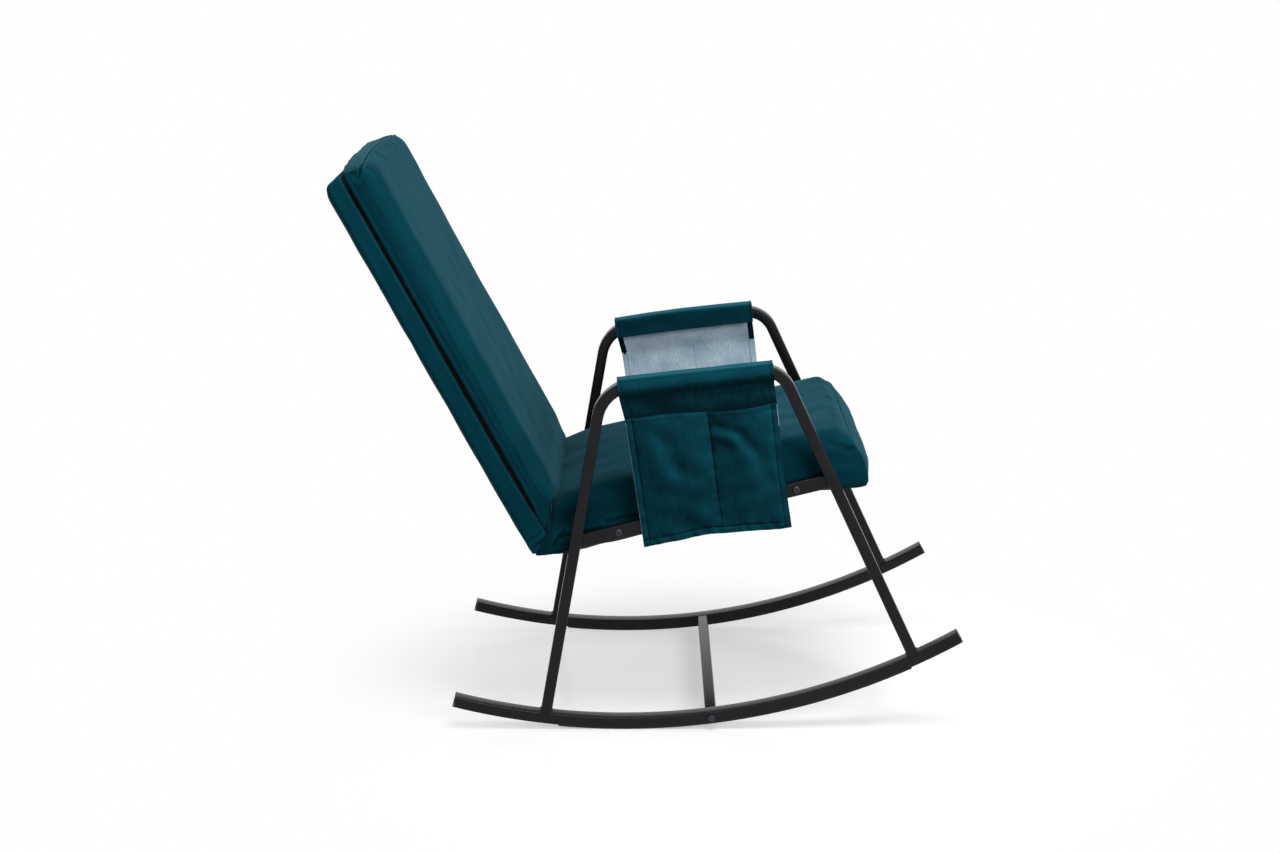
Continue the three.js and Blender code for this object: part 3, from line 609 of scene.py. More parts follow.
inner_finishes = {
    "strap": (webbing, "webbing"),
    "spacer": (black_nylon, "black_plastic"),
    "nut": (blackened_steel, "fastener_steel"),
    "insert": (blackened_steel, "fastener_steel"),
    "member": (black_coat_with_slit_shade, "powder_coat"),
    "tube": (black_coat_with_slit_shade, "powder_coat"),
}
for name, node in frame["nodes"].items():
    for word, (finish, slot) in inner_finishes.items():
        if word in name and not node.hide_render:
            node.data.materials.clear()
            node.data.materials.append(finish)

# Upholstery velvet: short-pile polyester velvet in dark petrol, woven, dyed and brushed one way. Seen
# square on it is deep and dark, at a slant the pile catches light and greys, and it keeps brush marks.
slub = 5 * mm
rib = 1.8 * mm  # the real ribs of the weave are 0.5 mm apart, drawn coarser so that they show
pile_run = 7  # slubs and ribs are this many times longer than wide
slub_share = 0.35
rib_share = 0.18


def velvet_cut(name, pile_angle, deep="#01242c", pale="#04424f", brush_mark=60 * mm,
               mark_share=0.45):
    """The velvet, cut so that its pile and ribs run at an angle of the side view. The piece's own attribute
    sets its colour from dark, at 0, to pale, at 1: it carries the pile's tone and the light and shade
    painted on the piece."""
    made, tree, shader = new_material(name)
    place = add_node(tree, "TexCoord").outputs["Object"]
    along_pile = add_node(tree, "Mapping", {"Vector": place, "Rotation": (0, -pile_angle, 0),
                                            "Scale": (pile_run, 1, 1)}, vector_type="TEXTURE").outputs[0]
    marks = add_node(tree, "TexNoise", {"Vector": place, "Scale": 1 / brush_mark, "Detail": 4.0})
    slubs = add_node(tree, "TexNoise", {"Vector": along_pile, "Scale": 1 / slub, "Detail": 3.0})
    ribs = add_node(tree, "TexNoise", {"Vector": along_pile, "Scale": 1 / rib, "Detail": 2.0})
    tone_with_painted_light = add_node(tree, "Attribute", attribute_name="pile_tone_and_painted_light").outputs["Fac"]
    for pattern, share in [(marks, mark_share), (slubs, slub_share), (ribs, rib_share)]:
        centred = add_node(tree, "Math", {0: pattern.outputs["Fac"], 1: 0.5}, operation="SUBTRACT")
        tone_with_painted_light = add_node(tree, "Math", {0: centred.outputs[0], 1: share, 2: tone_with_painted_light},
                       operation="MULTIPLY_ADD").outputs[0]
    ramp = add_node(tree, "ValToRGB", {"Fac": tone_with_painted_light})
    ramp.color_ramp.elements[0].color = linear(deep)
    ramp.color_ramp.elements[1].color = linear(pale)
    bump = add_node(tree, "Bump", {"Height": ribs.outputs["Fac"], "Strength": 0.35, "Distance": 0.3 * mm})
    set_inputs(tree, shader, {
        "Base Color": ramp.outputs[0],
        "Roughness": 0.9,
        "Specular IOR Level": 0.04,
        "Sheen Weight": 0.4,
        "Sheen Roughness": 0.3,
        "Sheen Tint": linear("#86cfe0"),
        "Normal": bump.outputs[0],
    })
    return made


def set_attribute(made, name, kind, values):
    made.data.attributes.new(name, kind, "POINT").data.foreach_set(
        "value" if kind == "FLOAT" else "vector", np.ravel(values))


def rows_between(low, high, step, roll_low, roll_high, turns=5):
    """Grid places from low to high: even in the middle and closer together over the rolled edges."""
    ease = [1 - math.tan(math.pi / 4 * i / turns) for i in range(turns, 0, -1)]
    first = [low + roll_low * e for e in ease]
    last = [high - roll_high * e for e in reversed(ease)]
    start, end = low + roll_low, high - roll_high
    count = max(1, round((end - start) / step))
    return first + [start + (end - start) * i / count for i in range(count + 1)] + last


def new_mesh(name, points, faces):
    mesh = bpy.data.meshes.new(name)
    mesh.from_pydata(points, [], faces)
    return new_object(name, mesh)


def carried(points, into):
    """Points of a frame, as points of the row frame."""
    return points @ np.array(into.to_3x3()).T + np.array(into.translation)


def padded_shell(name, rows, roll, shape, into):
    """A closed padded form on a box grid. 'roll' gives the radii of its edges from the shares of the
    half sizes, 'shape' bends it, and 'into' carries it to the row frame."""
    counts = [len(r) - 1 for r in rows]
    index = {}
    places = []

    def vertex(*at):
        if at not in index:
            index[at] = len(places)
            places.append([rows[axis][at[axis]] for axis in range(3)])
        return index[at]

    faces = []
    for axis in range(3):
        one, two = (axis + 1) % 3, (axis + 2) % 3
        for end in (0, counts[axis]):
            for i in range(counts[one]):
                for j in range(counts[two]):
                    corners = []
                    for di, dj in ((0, 0), (1, 0), (1, 1), (0, 1)):
                        at = [0, 0, 0]
                        at[axis], at[one], at[two] = end, i + di, j + dj
                        corners.append(vertex(*at))
                    faces.append(corners if end else corners[::-1])
    low = np.array([r[0] for r in rows])
    high = np.array([r[-1] for r in rows])
    middle, half = (low + high) / 2, (high - low) / 2
    points = np.array(places) - middle
    radii = np.array(roll(points / half))
    core = np.clip(points, radii - half, half - radii)
    outward = (points - core) / radii
    outward /= np.linalg.norm(outward, axis=1)[:, None]
    points = core + outward * radii
    shares = points / half
    made = new_mesh(name, carried(shape(points + middle, shares), into).tolist(), faces)
    set_attribute(made, "shares", "FLOAT_VECTOR", shares)
    return made


def read_all(items, name, size=3):
    """One property of all of a mesh's points, as rows of numbers."""
    flat = np.empty(len(items) * size)
    items.foreach_get(name, flat)
    return flat.reshape(-1, size)


def shares_of(made):
    """Each point's shares of the form's half sizes, as they were before it was bent."""
    return read_all(made.data.attributes["shares"].data, "vector")


def coordinates(made):
    return read_all(made.data.vertices, "co")


def normals(made):
    return read_all(made.data.vertices, "normal")


def move_to(made, places):
    made.data.vertices.foreach_set("co", places.ravel())
    made.data.update()


def push(made, depth):
    """Moves each point along its outward normal by its own depth."""
    move_to(made, coordinates(made) + normals(made) * depth[:, None])


def near(distance, reach):
    """1 at no distance, falling off like a bell over a reach."""
    return np.exp(-(distance / reach) ** 2)


def rise(value, start, reach):
    """0 up to a start, then rising to 1 over a reach."""
    return np.clip((value - start) / reach, 0, 1)


def mix(low, high, share):
    return low + (high - low) * share


seed_shift = 17.3


def ripples(places, size, seed):
    """Smooth random heights from -1 to 1 over places, with waves of a real size on each axis."""
    return np.array([noise.noise(Vector(p)) for p in places * (1 / np.array(size)) + seed * seed_shift])


cover_frames = 20
cover_cloth = {"quality": 6, "mass": 0.3, "tension_stiffness": 12, "compression_stiffness": 12,
               "shear_stiffness": 5, "bending_stiffness": 0.4, "use_pressure": True,
               "uniform_pressure_force": 4.0}
inward_share = 0.3


def plump(made, most, held):
    """Blows the sewn cover up as the foam fills it, by a cloth simulation. No point moves further than
    'most', and those that are held stay. The form keeps its own grid, so its shares still say where."""
    before = coordinates(made)
    outward = normals(made)
    select_only(made)
    cover = made.modifiers.new("cover", "CLOTH")
    for name, value in cover_cloth.items():
        setattr(cover.settings, name, value)
    cover.settings.effector_weights.gravity = 0
    cover.point_cache.frame_start = 1
    cover.point_cache.frame_end = cover_frames
    for moment in range(1, cover_frames + 1):
        bpy.context.scene.frame_set(moment)
    bpy.ops.object.modifier_apply(modifier=cover.name)
    bpy.context.scene.frame_set(1)
    swollen = np.sum((coordinates(made) - before) * outward, axis=1)
    sunken = inward_share * np.maximum(swollen, -most)
    swollen = np.where(swollen > 0, most * np.tanh(swollen / most), sunken)
    move_to(made, before + outward * (swollen * (1 - held))[:, None])


seam_reach = 1.6 * mm
seam_shade_reach = 1.1 * mm
pucker_reach = 10 * mm
join_reach = 5 * mm
join_shade_reach = 150 * mm
join_shade = 0.6
far_end_shade = 0.15
fine_puckers = (40 * mm, 11 * mm, 11 * mm)
wide_puckers = (70 * mm, 24 * mm, 24 * mm)
wide_pucker_share = 0.7


def sewn_in(made, half, depth, gather, shade, seed):
    """Sews in the panel at the far end of a padded form: a groove round its outline with puckers beside
    it. Painted shade darkens the groove, the puckers' hollows and the join at the other end, with a wide
    band of it past the join, and painted light lifts the puckers' crests. The sewn-in panel is a
    little darker, partly its pile's tone and partly painted shade."""
    shares = shares_of(made)
    inset = half * (1 - np.abs(shares))
    from_outline = np.minimum(inset[:, 1], inset[:, 2])
    off = np.where(shares[:, 0] > 0, np.abs(inset[:, 0] - from_outline), 1)
    places = coordinates(made)
    puckers = ripples(places, fine_puckers, seed)
    puckers += wide_pucker_share * ripples(places, wide_puckers, seed)
    puckers *= rise(shares[:, 2], -0.95, 0.4)
    push(made, gather * puckers * near(off, pucker_reach) - depth * near(off, seam_reach))
    pile_tone_and_painted_light = 0.5 - 0.5 * near(off, seam_shade_reach) + gather / (5 * mm) * puckers * near(off, pucker_reach)
    pile_tone_and_painted_light -= far_end_shade * ((shares[:, 0] > 0) & (inset[:, 0] < from_outline))
    from_join = np.where(shares[:, 0] < 0, inset[:, 0], 1)
    pile_tone_and_painted_light -= join_shade * near(from_join, join_reach) + shade * near(from_join, join_shade_reach)
    set_attribute(made, "pile_tone_and_painted_light", "FLOAT", pile_tone_and_painted_light)


crease_inset = 26 * mm
crease_fade = 16 * mm
ridge_off = 1.8  # a crease's ridge lies this many breadths beside its valley


def creased(made, lines):
    """Folds the cover in along lines of the side view, on both of its sides, with painted shade in each
    valley and painted light on the ridge beside it. Each line has its two ends, its depth and its
    breadth, all in millimetres."""
    places = coordinates(made)
    on_side = rise(np.abs(places[:, 1]), pad_half - crease_inset, crease_fade)
    tone_with_painted_light = made.data.attributes["pile_tone_and_painted_light"].data
    pile_tone_and_painted_light = read_all(tone_with_painted_light, "value", 1)[:, 0]
    depth = np.zeros(len(places))
    for start, end, deep, breadth in lines:
        a, b = [np.array(side(np.array(end_point) * mm))[[0, 2]] for end_point in (start, end)]
        share = np.clip((places[:, [0, 2]] - a) @ (b - a) / np.sum((b - a) ** 2), 0, 1)
        off = np.linalg.norm(places[:, [0, 2]] - a - share[:, None] * (b - a), axis=1)
        fold = near(off, breadth * mm) * on_side
        ridge = near(off - ridge_off * breadth * mm, breadth * mm) * on_side
        depth += deep * mm * (0.5 * ridge - fold)
        # Painted shade in the valley, painted light on the ridge.
        pile_tone_and_painted_light += deep * (0.2 * ridge - 0.35 * fold)
    push(made, depth)
    tone_with_painted_light.foreach_set("value", pile_tone_and_painted_light)


def refine(made):
    modified(made, "SUBSURF", levels=1, render_levels=1)
    bpy.ops.object.shade_smooth()


def tilted(start, angle):
    """A frame of the side view: x along the angle, z square to it and y across the chair."""
    turned = Matrix.Rotation(-angle, 4, "Y")
    turned.translation = side(start)
    return turned


# Seat: foam on webbing and a thin pad below it, in one sewn velvet cover. Top and sides are one piece
# rolled over the edges, drawn under the rails; the front is a boxing panel sewn in round its outline.
pad_half = -inner_y - 3.5 * mm
slit_half = 1.8 * mm
seat_front = 450 * mm
seat_front_lean = 9 * mm
seat_top_rear = 66.6 * mm
seat_top_front = 52 * mm
seat_top_mark = 109 * mm
seat_under_front = 31 * mm
# Lines of the side view are tables of millimetres: the underside's depths at places along the seat.
seat_under = [(-160, 22), (-60, 22), (40, 20), (160, 15), (330, 13), (400, 23), (450, 31)]
seat_crown_rear = 12 * mm
seat_crown_front = 21 * mm
seat_front_bulge = 14 * mm
seat_side_waist = 5 * mm  # the sides draw in this far under the top edge
seat_rear = -160 * mm
seat_tail_rise = 9 * mm
seat_tail_reach = 56 * mm
# The rear end follows the back's foot: places along the seat at heights over the frame's plane.
seat_end = [(-10, -168), (9, -157), (29, -134), (46, -124), (78, -114.6)]
pad_step = 10 * mm
tight_roll = 1.5 * mm  # where the seat and the back are sewn together
join_roll = 3 * mm
seam_roll = 5 * mm
top_roll = 6 * mm
side_roll = 13 * mm
under_roll = 9 * mm
seat_frame = tilted(rail_start, rail_slope)


def along_line(at, line, unit=mm):
    """A value at places along a line of pairs, both in millimetres unless the places are shares."""
    places, values = zip(*line)
    return np.interp(at, np.array(places) * unit, np.array(values) * mm)


def swell(width_share, length_share):
    """Share of a face's crown: steep by the seams and flat in the middle."""
    return (1 - np.abs(width_share) ** 14) * (1 - np.abs(length_share) ** 40)


def seat_roll(shares):
    """Wide rolls along the sides, tight at the seams of the front panel and underneath."""
    top = shares[:, 2] > 0
    to_front = rise(shares[:, 0], 0.75, 0.25) ** 2
    to_rear = rise(-shares[:, 0], 0.9, 0.08)
    wide = mix(mix(side_roll, seam_roll, to_front), tight_roll, to_rear)
    low = mix(under_roll, tight_roll, to_rear)
    round_side = np.where(top, wide, low)
    return np.stack([mix(seam_roll, tight_roll, to_rear), round_side, round_side], 1)


def seat_shape(points, shares):
    along_share = (shares[:, 0] + 1) / 2
    up_share = (shares[:, 2] + 1) / 2
    along = mix(seat_rear, seat_front, along_share)
    top_slope = (seat_top_front - seat_top_rear) / (seat_front - seat_front_lean + seat_top_mark)
    top = seat_top_rear + top_slope * (along + seat_top_mark)
    top += mix(seat_crown_rear, seat_crown_front, along_share) * swell(shares[:, 1], shares[:, 0])
    tail = np.maximum(0, 1 - (along - seat_rear) / seat_tail_reach)
    under = along_line(along, seat_under) - seat_tail_rise * tail ** 2
    height = mix(-under, top, up_share)
    bulge = seat_front_bulge * (1 - shares[:, 1] ** 8) * np.sin(math.pi * up_share)
    over = np.maximum(0, height) / seat_top_front
    rear = along_line(height, seat_end)
    along = mix(rear, seat_front, along_share) + along_share ** 8 * (bulge - seat_front_lean * over)
    waist = seat_side_waist * rise(up_share, 0.4, 0.22) ** 1.5
    return np.stack([along, points[:, 1] * (1 - waist / pad_half), height], 1)


seat_rows = [
    rows_between(seat_rear, seat_front, pad_step, join_roll, top_roll),
    rows_between(-pad_half, pad_half, pad_step, side_roll, side_roll),
    rows_between(-seat_under_front, seat_top_rear, pad_step, under_roll, side_roll, 4),
]
seat = padded_shell("seat_cover", seat_rows, seat_roll, seat_shape, seat_frame)
seat_half = np.array([(seat_front - seat_rear) / 2, pad_half, (seat_top_rear + seat_under_front) / 2])
plump(seat, 6 * mm, rise(-shares_of(seat)[:, 0], 0.8, 0.15))
refine(seat)
# Painted shade darkens the seat's top towards the back.
sewn_in(seat, seat_half, depth=1.8 * mm, gather=0.6 * mm, shade=0.35, seed=5)
push(seat, 1.6 * mm * ripples(coordinates(seat), (90 * mm, 60 * mm, 22 * mm), 31))
seat_creases = [((-118, 356), (-40, 371), 1.5, 4), ((-30, 385), (150, 424), 1.4, 4),
                ((-128, 340), (-108, 366), 1.8, 3), ((372, 530), (408, 519), 0.8, 5)]
creased(seat, seat_creases)
seat.data.materials.append(velvet_cut("petrol polyester velvet", rail_slope))
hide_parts("seat_cushion", "seat_underside_pad")
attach(seat, "chair")

# Back cushion: foam in a sewn velvet cover on the front of the back frame. Its face is rolled over the
# side edges, and a boxing strip is sewn in along the top.
back_foot = 129 * mm
back_lean = math.radians(28.5)
back_top = 758 * mm
back_top_slant = 4 * mm
back_top_bulge = 12 * mm
back_front_foot = 70 * mm
back_front_depth = 37 * mm
back_front_depth_top = 44 * mm
back_crown = 12 * mm
# The foot closes on the seat: places up the back at depths behind the frame's plane. The slit at the side
# edges has its widths at places up the back, below which it is closed.
back_end = [(-64, 62), (-37, 70), (-20, 42), (-6, 28), (18, 14), (29, -2), (41, 0)]
slit = [(46, 0), (70, 3), (160, 8.5), (300, 7.5), (450, 4.5), (740, 3)]
slit_foot = 70 * mm
slit_reach = 18 * mm
face_roll = 20 * mm
face_roll_depth = 14 * mm
back_corner = Vector((-back_foot, rail_height - back_foot * math.tan(rail_slope)))
back_frame = tilted(back_corner, math.pi / 2 + back_lean)


def back_roll(shares):
    """Wide rolls down the front's sides, tight along the top seam and at the slit."""
    front = shares[:, 2] < 0
    to_top = rise(shares[:, 0], 0.8, 0.2) ** 2
    to_foot = rise(-shares[:, 0], 0.9, 0.08)
    wide = mix(mix(face_roll, top_roll, to_top), tight_roll, to_foot)
    deep = mix(mix(face_roll_depth, top_roll, to_top), tight_roll, to_foot)
    return np.stack([mix(seam_roll, tight_roll, to_foot), np.where(front, wide, seam_roll),
                     np.where(front, deep, seam_roll)], 1)


def slit_opening(up, width_share):
    """Half the slit's extra width at a place up the back, fading out inward from the side edges."""
    inward = pad_half * (1 - np.abs(width_share))
    fade = np.clip(1 - inward / slit_reach, 0, 1) ** 0.5
    return along_line(up, slit) / 2 * fade - slit_half * (up < slit_foot)


def back_shape(points, shares):
    along_share = (shares[:, 0] + 1) / 2
    rear_share = (shares[:, 2] + 1) / 2
    crest = back_top_slant * rear_share + back_top_bulge * (1 - shares[:, 1] ** 4)
    crown = back_crown * swell(shares[:, 1], np.maximum(0, shares[:, 0]))
    front = mix(back_front_depth, back_front_depth_top, along_share ** 2) + crown
    depth = mix(-front, -slit_half, rear_share)
    foot = along_line(depth, back_end)
    up = mix(foot, back_top, along_share) + along_share ** 8 * crest
    depth -= rear_share * slit_opening(up, shares[:, 1])
    return np.stack([up, points[:, 1], depth], 1)


back_rows = [
    rows_between(back_front_foot, back_top, pad_step, join_roll, top_roll),
    rows_between(-pad_half, pad_half, pad_step, face_roll, face_roll),
    rows_between(-back_front_depth, 0, pad_step, face_roll_depth, seam_roll, 4),
]
back = padded_shell("back_cover", back_rows, back_roll, back_shape, back_frame)
back_half = np.array([(back_top - back_front_foot) / 2, pad_half, back_front_depth / 2])


def held_at(made, slit_hand):
    """Held at the foot and along the slit, whose side of the form 'slit_hand' gives."""
    shares = shares_of(made)
    by_foot = (-shares[:, 0] - 0.85) / 0.1
    by_slit = (slit_hand * shares[:, 2] - 0.3) / 0.5
    return np.clip(np.maximum(by_foot, by_slit), 0, 1)


plump(back, 5 * mm, held_at(back, 1))
refine(back)
sewn_in(back, back_half, depth=1.8 * mm, gather=1.1 * mm, shade=0.1, seed=7)
push(back, 1.2 * mm * ripples(coordinates(back), (45 * mm, 70 * mm, 80 * mm), 33))
# Short pleats where the corner is gathered at the top, and two long folds beside the slit.
back_creases = [((-469, 1023), (-466, 1010), 2.4, 2.5), ((-456, 1025), (-461, 1004), 2.6, 2.5),
                ((-447, 1024), (-434, 1016), 1.2, 3), ((-474, 1019), (-474, 1006), 1.6, 2.5),
                ((-470, 1000), (-150, 408), 0.7, 3.5), ((-340, 788), (-150, 428), 0.4, 3)]
creased(back, back_creases)
back_velvet = velvet_cut("petrol velvet of the back", math.pi / 2 + back_lean)
back.data.materials.append(back_velvet)
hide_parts("back_cushion")
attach(back, "chair")

# Back rear panel: a flatter velvet pad that closes the back from behind, with a dark slit between it
# and the front cushion where the frame shows.
back_rear_foot = 41 * mm
back_rear_top = 36 * mm
rear_panel_crown = 5 * mm
rear_panel_slant = 6 * mm
rear_panel_top_roll = 13 * mm
rear_panel_roll = 9 * mm


def rear_panel_shape(points, shares):
    along_share = (shares[:, 0] + 1) / 2
    rear_share = (shares[:, 2] + 1) / 2
    crown = rear_panel_crown * swell(shares[:, 1], shares[:, 0])
    depth = mix(slit_half, mix(back_rear_foot, back_rear_top, along_share), rear_share)
    foot = along_line(depth, back_end)
    crest = rear_panel_slant * (1 - rear_share)
    up = mix(foot, back_top, along_share) + along_share ** 12 * crest
    depth += rear_share * crown + (1 - rear_share) * slit_opening(up, shares[:, 1])
    return np.stack([up, points[:, 1], depth], 1)


rear_panel_rows = [
    rows_between(0, back_top, pad_step, join_roll, rear_panel_roll),
    rows_between(-pad_half, pad_half, pad_step, rear_panel_roll, rear_panel_roll),
    rows_between(0, back_rear_foot, pad_step, join_roll, rear_panel_roll, 4),
]


def rear_panel_rolls(shares):
    """Tight at the foot and at the slit, round along the outer edges."""
    to_foot = rise(-shares[:, 0], 0.9, 0.08)
    outer = mix(mix(rear_panel_roll, join_roll, to_foot), rear_panel_top_roll, rise(shares[:, 0], 0.9, 0.1))
    return np.stack([outer, outer, np.where(shares[:, 2] > 0, outer, join_roll)], 1)


rear_panel = padded_shell("back_rear_cover", rear_panel_rows, rear_panel_rolls, rear_panel_shape, back_frame)
plump(rear_panel, 3 * mm, held_at(rear_panel, -1))
refine(rear_panel)
push(rear_panel, 1.2 * mm * ripples(coordinates(rear_panel), (45 * mm, 70 * mm, 80 * mm), 35))
# Painted light: the rear panel is paler than the other pads, most towards its top.
set_attribute(rear_panel, "pile_tone_and_painted_light", "FLOAT", 0.7 + 0.15 * shares_of(rear_panel)[:, 0])
rear_panel_creases = [((-166, 337), (-146, 350), 2.0, 3), ((-170, 350), (-152, 362), 1.5, 3)]
creased(rear_panel, rear_panel_creases)
rear_panel.data.materials.append(back_velvet)
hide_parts("back_rear_panel")
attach(rear_panel, "chair")

# Arm organisers: a sheet of the same velvet, backed with pale twill, hangs over each arm with a short flap
# inside and a long panel outside. A second sheet, stitched on at its sides, foot and middle, makes two
# pockets. Places out run from the chair's middle, and heights from the arm tube's middle.
cloth = 1.6 * mm
cloth_gap = 0.3 * mm
inner_out = -inner_y - cloth_gap - cloth / 2
outer_out = -outer_y + cloth_gap + cloth / 2
panel_out = outer_out + 2.9 * mm
over_top = tube_face / 2 + cloth_gap + cloth / 2
over_bend = 3 * mm
flap_drop = 22 * mm
crease_drop = 20.5 * mm
cloth_width = 277 * mm
cloth_step = 3.6 * mm
row_step = 3.8 * mm
seam_step = 1.3 * mm
seam_clear = 3.2 * mm
groove_reach = 1.7 * mm
panel_start = -14.5 * mm
panel_drop = 290 * mm
patch_drop = 230 * mm
end_hem = 6 * mm
side_seam = 11 * mm
foot_seam = 12 * mm
pocket_hem = 9 * mm
edge_roll = 0.7 * mm  # the backing shows this far round the panel's side edges
# A place on the sleeve's section: how far out past the tube's outer face, and how far up.
bend_from = (5.2 * mm, -3 * mm)
# Stitched lines run down the cloth between these heights, under the pockets' tops and above them.
pocket_side_run = (-60 * mm, -282 * mm)
pocket_divider_run = (-62 * mm, -276 * mm)
panel_side_run = (-24 * mm, -56 * mm)
inner_run = (-62 * mm, -274 * mm)
backing_from = -60 * mm
front_backing_to = -100 * mm
stitch_shade_reach = 1.3 * mm
side_puckers = (30 * mm, 11 * mm)
foot_puckers = (11 * mm, 30 * mm)
divider_share = 0.54
end_share = end_hem / cloth_width
seam_share = side_seam / cloth_width
seam_shares = np.linspace(seam_share, 1 - seam_share, 90)
arm_frame = tilted(arm_start, arm_slope)
# Both side edges, from heights to places along the arm, and the hem and the pockets' tops, from shares
# of the width to heights.
rear_edge = [(-293, 1.8), (-61, -4), (-30, -8.5), (-8, -10.3), (20, -10)]
front_edge = [(-293, 269), (-200, 265.5), (-60, 266), (-25, 265.5), (8, 267)]
hem_line = [(0, -295), (0.12, -292), (0.24, -289.5), (0.35, -286), (0.46, -284.3), (0.56, -285.5),
            (0.67, -286), (0.78, -287.5), (0.9, -289.5), (1, -289)]
pocket_line = [(0, -57), (0.12, -56), (0.27, -55), (0.42, -57), (0.53, -59.5), (0.56, -60.5),
               (0.65, -60.8), (0.85, -60.3), (1, -59)]
organisers = {
    "right": {
        "hand": -1, "shift": 0, "lift": [2.5, 2.2, 1.5, 0.8, 0.2], "seed": 3,
        "bellies": (7, 8.5), "mouths": (0.5, 1.4),
        "folds": [((150, -84), (196, -104), 3.0, 10), ((192, -100), (222, -146), 2.6, 11),
                  ((50, -82), (84, -170), 2.6, 15), ((222, -142), (238, -205), 1.6, 11),
                  ((120, -200), (60, -262), 1.6, 12)],
    },
    "left": {
        "hand": 1, "shift": -10, "lift": [4, 7, 8, 7, 6], "seed": 11,
        "bellies": (6, 5), "mouths": (0.5, 0.35),
        "folds": [((40, -95), (110, -160), 3.4, 9), ((190, -90), (205, -170), 2.2, 13)],
    },
}


def along_arm(share, heights, trim=0.0):
    """Places along the arm at shares of the panel's width, between its side edges or trimmed inside them."""
    return mix(along_line(heights, rear_edge) + trim, along_line(heights, front_edge) - trim, share)


def from_sides(share, inset):
    """How far inside the nearer side edge a share of the width lies, less an inset."""
    return np.minimum(share, 1 - share) * cloth_width - inset


def arm_points(x, out, heights):
    """Points of the arm's frame: along it, out from the chair's middle and up."""
    return np.stack(np.broadcast_arrays(x, out, heights), -1)


def section_arc(centre, from_degrees):
    turns = [math.radians(from_degrees - 90 * i / 4) for i in range(5)]
    return [(centre[0] + over_bend * math.cos(t), centre[1] + over_bend * math.sin(t)) for t in turns]


def filled_in(points, step):
    """A line's points with more between them, at most a step apart."""
    out = []
    for a, b in zip(points, points[1:]):
        count = max(1, math.ceil(math.dist(a, b) / step))
        out += [(mix(a[0], b[0], i / count), mix(a[1], b[1], i / count)) for i in range(count)]
    return out + [points[-1]]


over_arm = filled_in([(inner_out, -flap_drop)]
                     + section_arc((inner_out + over_bend, over_top - over_bend), 180)
                     + section_arc((outer_out - over_bend, over_top - over_bend), 90)
                     + [(outer_out + 3.0 * mm, 3 * mm), (outer_out + bend_from[0], bend_from[1]),
                        (outer_out + 5.6 * mm, -7 * mm), (outer_out + 4.2 * mm, -13 * mm)], 3 * mm)


def with_seams(count, seams, size):
    """Even shares across a sheet, with close rows at each seam so that it can be a fine groove."""
    shares = [i / count for i in range(count + 1)]
    for seam in seams:
        shares = [s for s in shares if abs(s - seam) * size > seam_clear or s in (0, 1)]
        shares += [seam + i * seam_step / size for i in (-2, -1, 0, 1, 2)]
    return np.array(sorted(shares))


across = with_seams(round(cloth_width / cloth_step), [end_share, divider_share, 1 - end_share], cloth_width)
close_rows = np.concatenate([side_seam + np.arange(3) * seam_step, [edge_roll]]) / cloth_width
across = np.unique(np.concatenate([across, close_rows, 1 - close_rows]))


def waves(u, height, size, seed):
    """Smooth random heights over the cloth, with waves of a real size along the arm and down."""
    places = np.stack([u * cloth_width, height, 0 * u], -1).reshape(-1, 3)
    return ripples(places, (*size, 1), seed).reshape(u.shape)


def hang_out(u, height, organiser):
    """How far out the hanging panel lies, with its soft folds."""
    drop = np.clip((-height - crease_drop) / (260 * mm), 0, 1.05)
    marks = [13 * mm, crease_drop, 34 * mm, 46 * mm, 60 * mm, 120 * mm]
    outs = [outer_out + 4.2 * mm, outer_out - 0.4 * mm, outer_out - 2 * mm, outer_out - 0.8 * mm,
            panel_out - 1 * mm, panel_out]
    soft = 2 * mm * waves(u, height, (70 * mm, 120 * mm), organiser["seed"])
    dimples = 2.6 * mm * waves(u, height, (45 * mm, 34 * mm), organiser["seed"] + 1)
    dimples *= rise(-height, 26 * mm, 20 * mm)
    return np.interp(-height, marks, outs) + drop * (soft + 1.5 * mm) + dimples


def groove(distance, depth):
    return -depth * near(distance, groove_reach)


def hem_relief(u, height, organiser):
    """The stitched lines along the sides and the foot, and the puckers beside them."""
    from_side = from_sides(u, side_seam)
    from_foot = height - along_line(u, hem_line, 1) - foot_seam
    seed = organiser["seed"] + 5
    relief = groove(from_side, 1.0 * mm) + groove(from_foot, 1.2 * mm)
    relief += 1.3 * mm * near(from_side + 2 * mm, 7 * mm) * waves(u, height, side_puckers, seed)
    relief += 3.0 * mm * near(from_foot + 4 * mm, 8 * mm) * waves(u, height, foot_puckers, seed)
    return relief


def soft_fold(x, height, fold):
    """A valley with a ridge beside it, fading out past its ends. A fold has its two ends along the arm
    and below it, its depth and its breadth, all in millimetres."""
    start, end, depth, breadth = fold
    a, b = np.array(start) * mm, np.array(end) * mm
    length = np.linalg.norm(b - a)
    one, two = (b - a) / length
    on = ((x - a[0]) * one + (height - a[1]) * two) / length
    off = ((x - a[0]) * two - (height - a[1]) * one) / (breadth * mm)
    fade = near(np.maximum(0, np.abs(on - 0.5) - 0.35), 0.22)
    return depth * mm * fade * (0.6 * near(off - 1.6, 1) - near(off, 1))


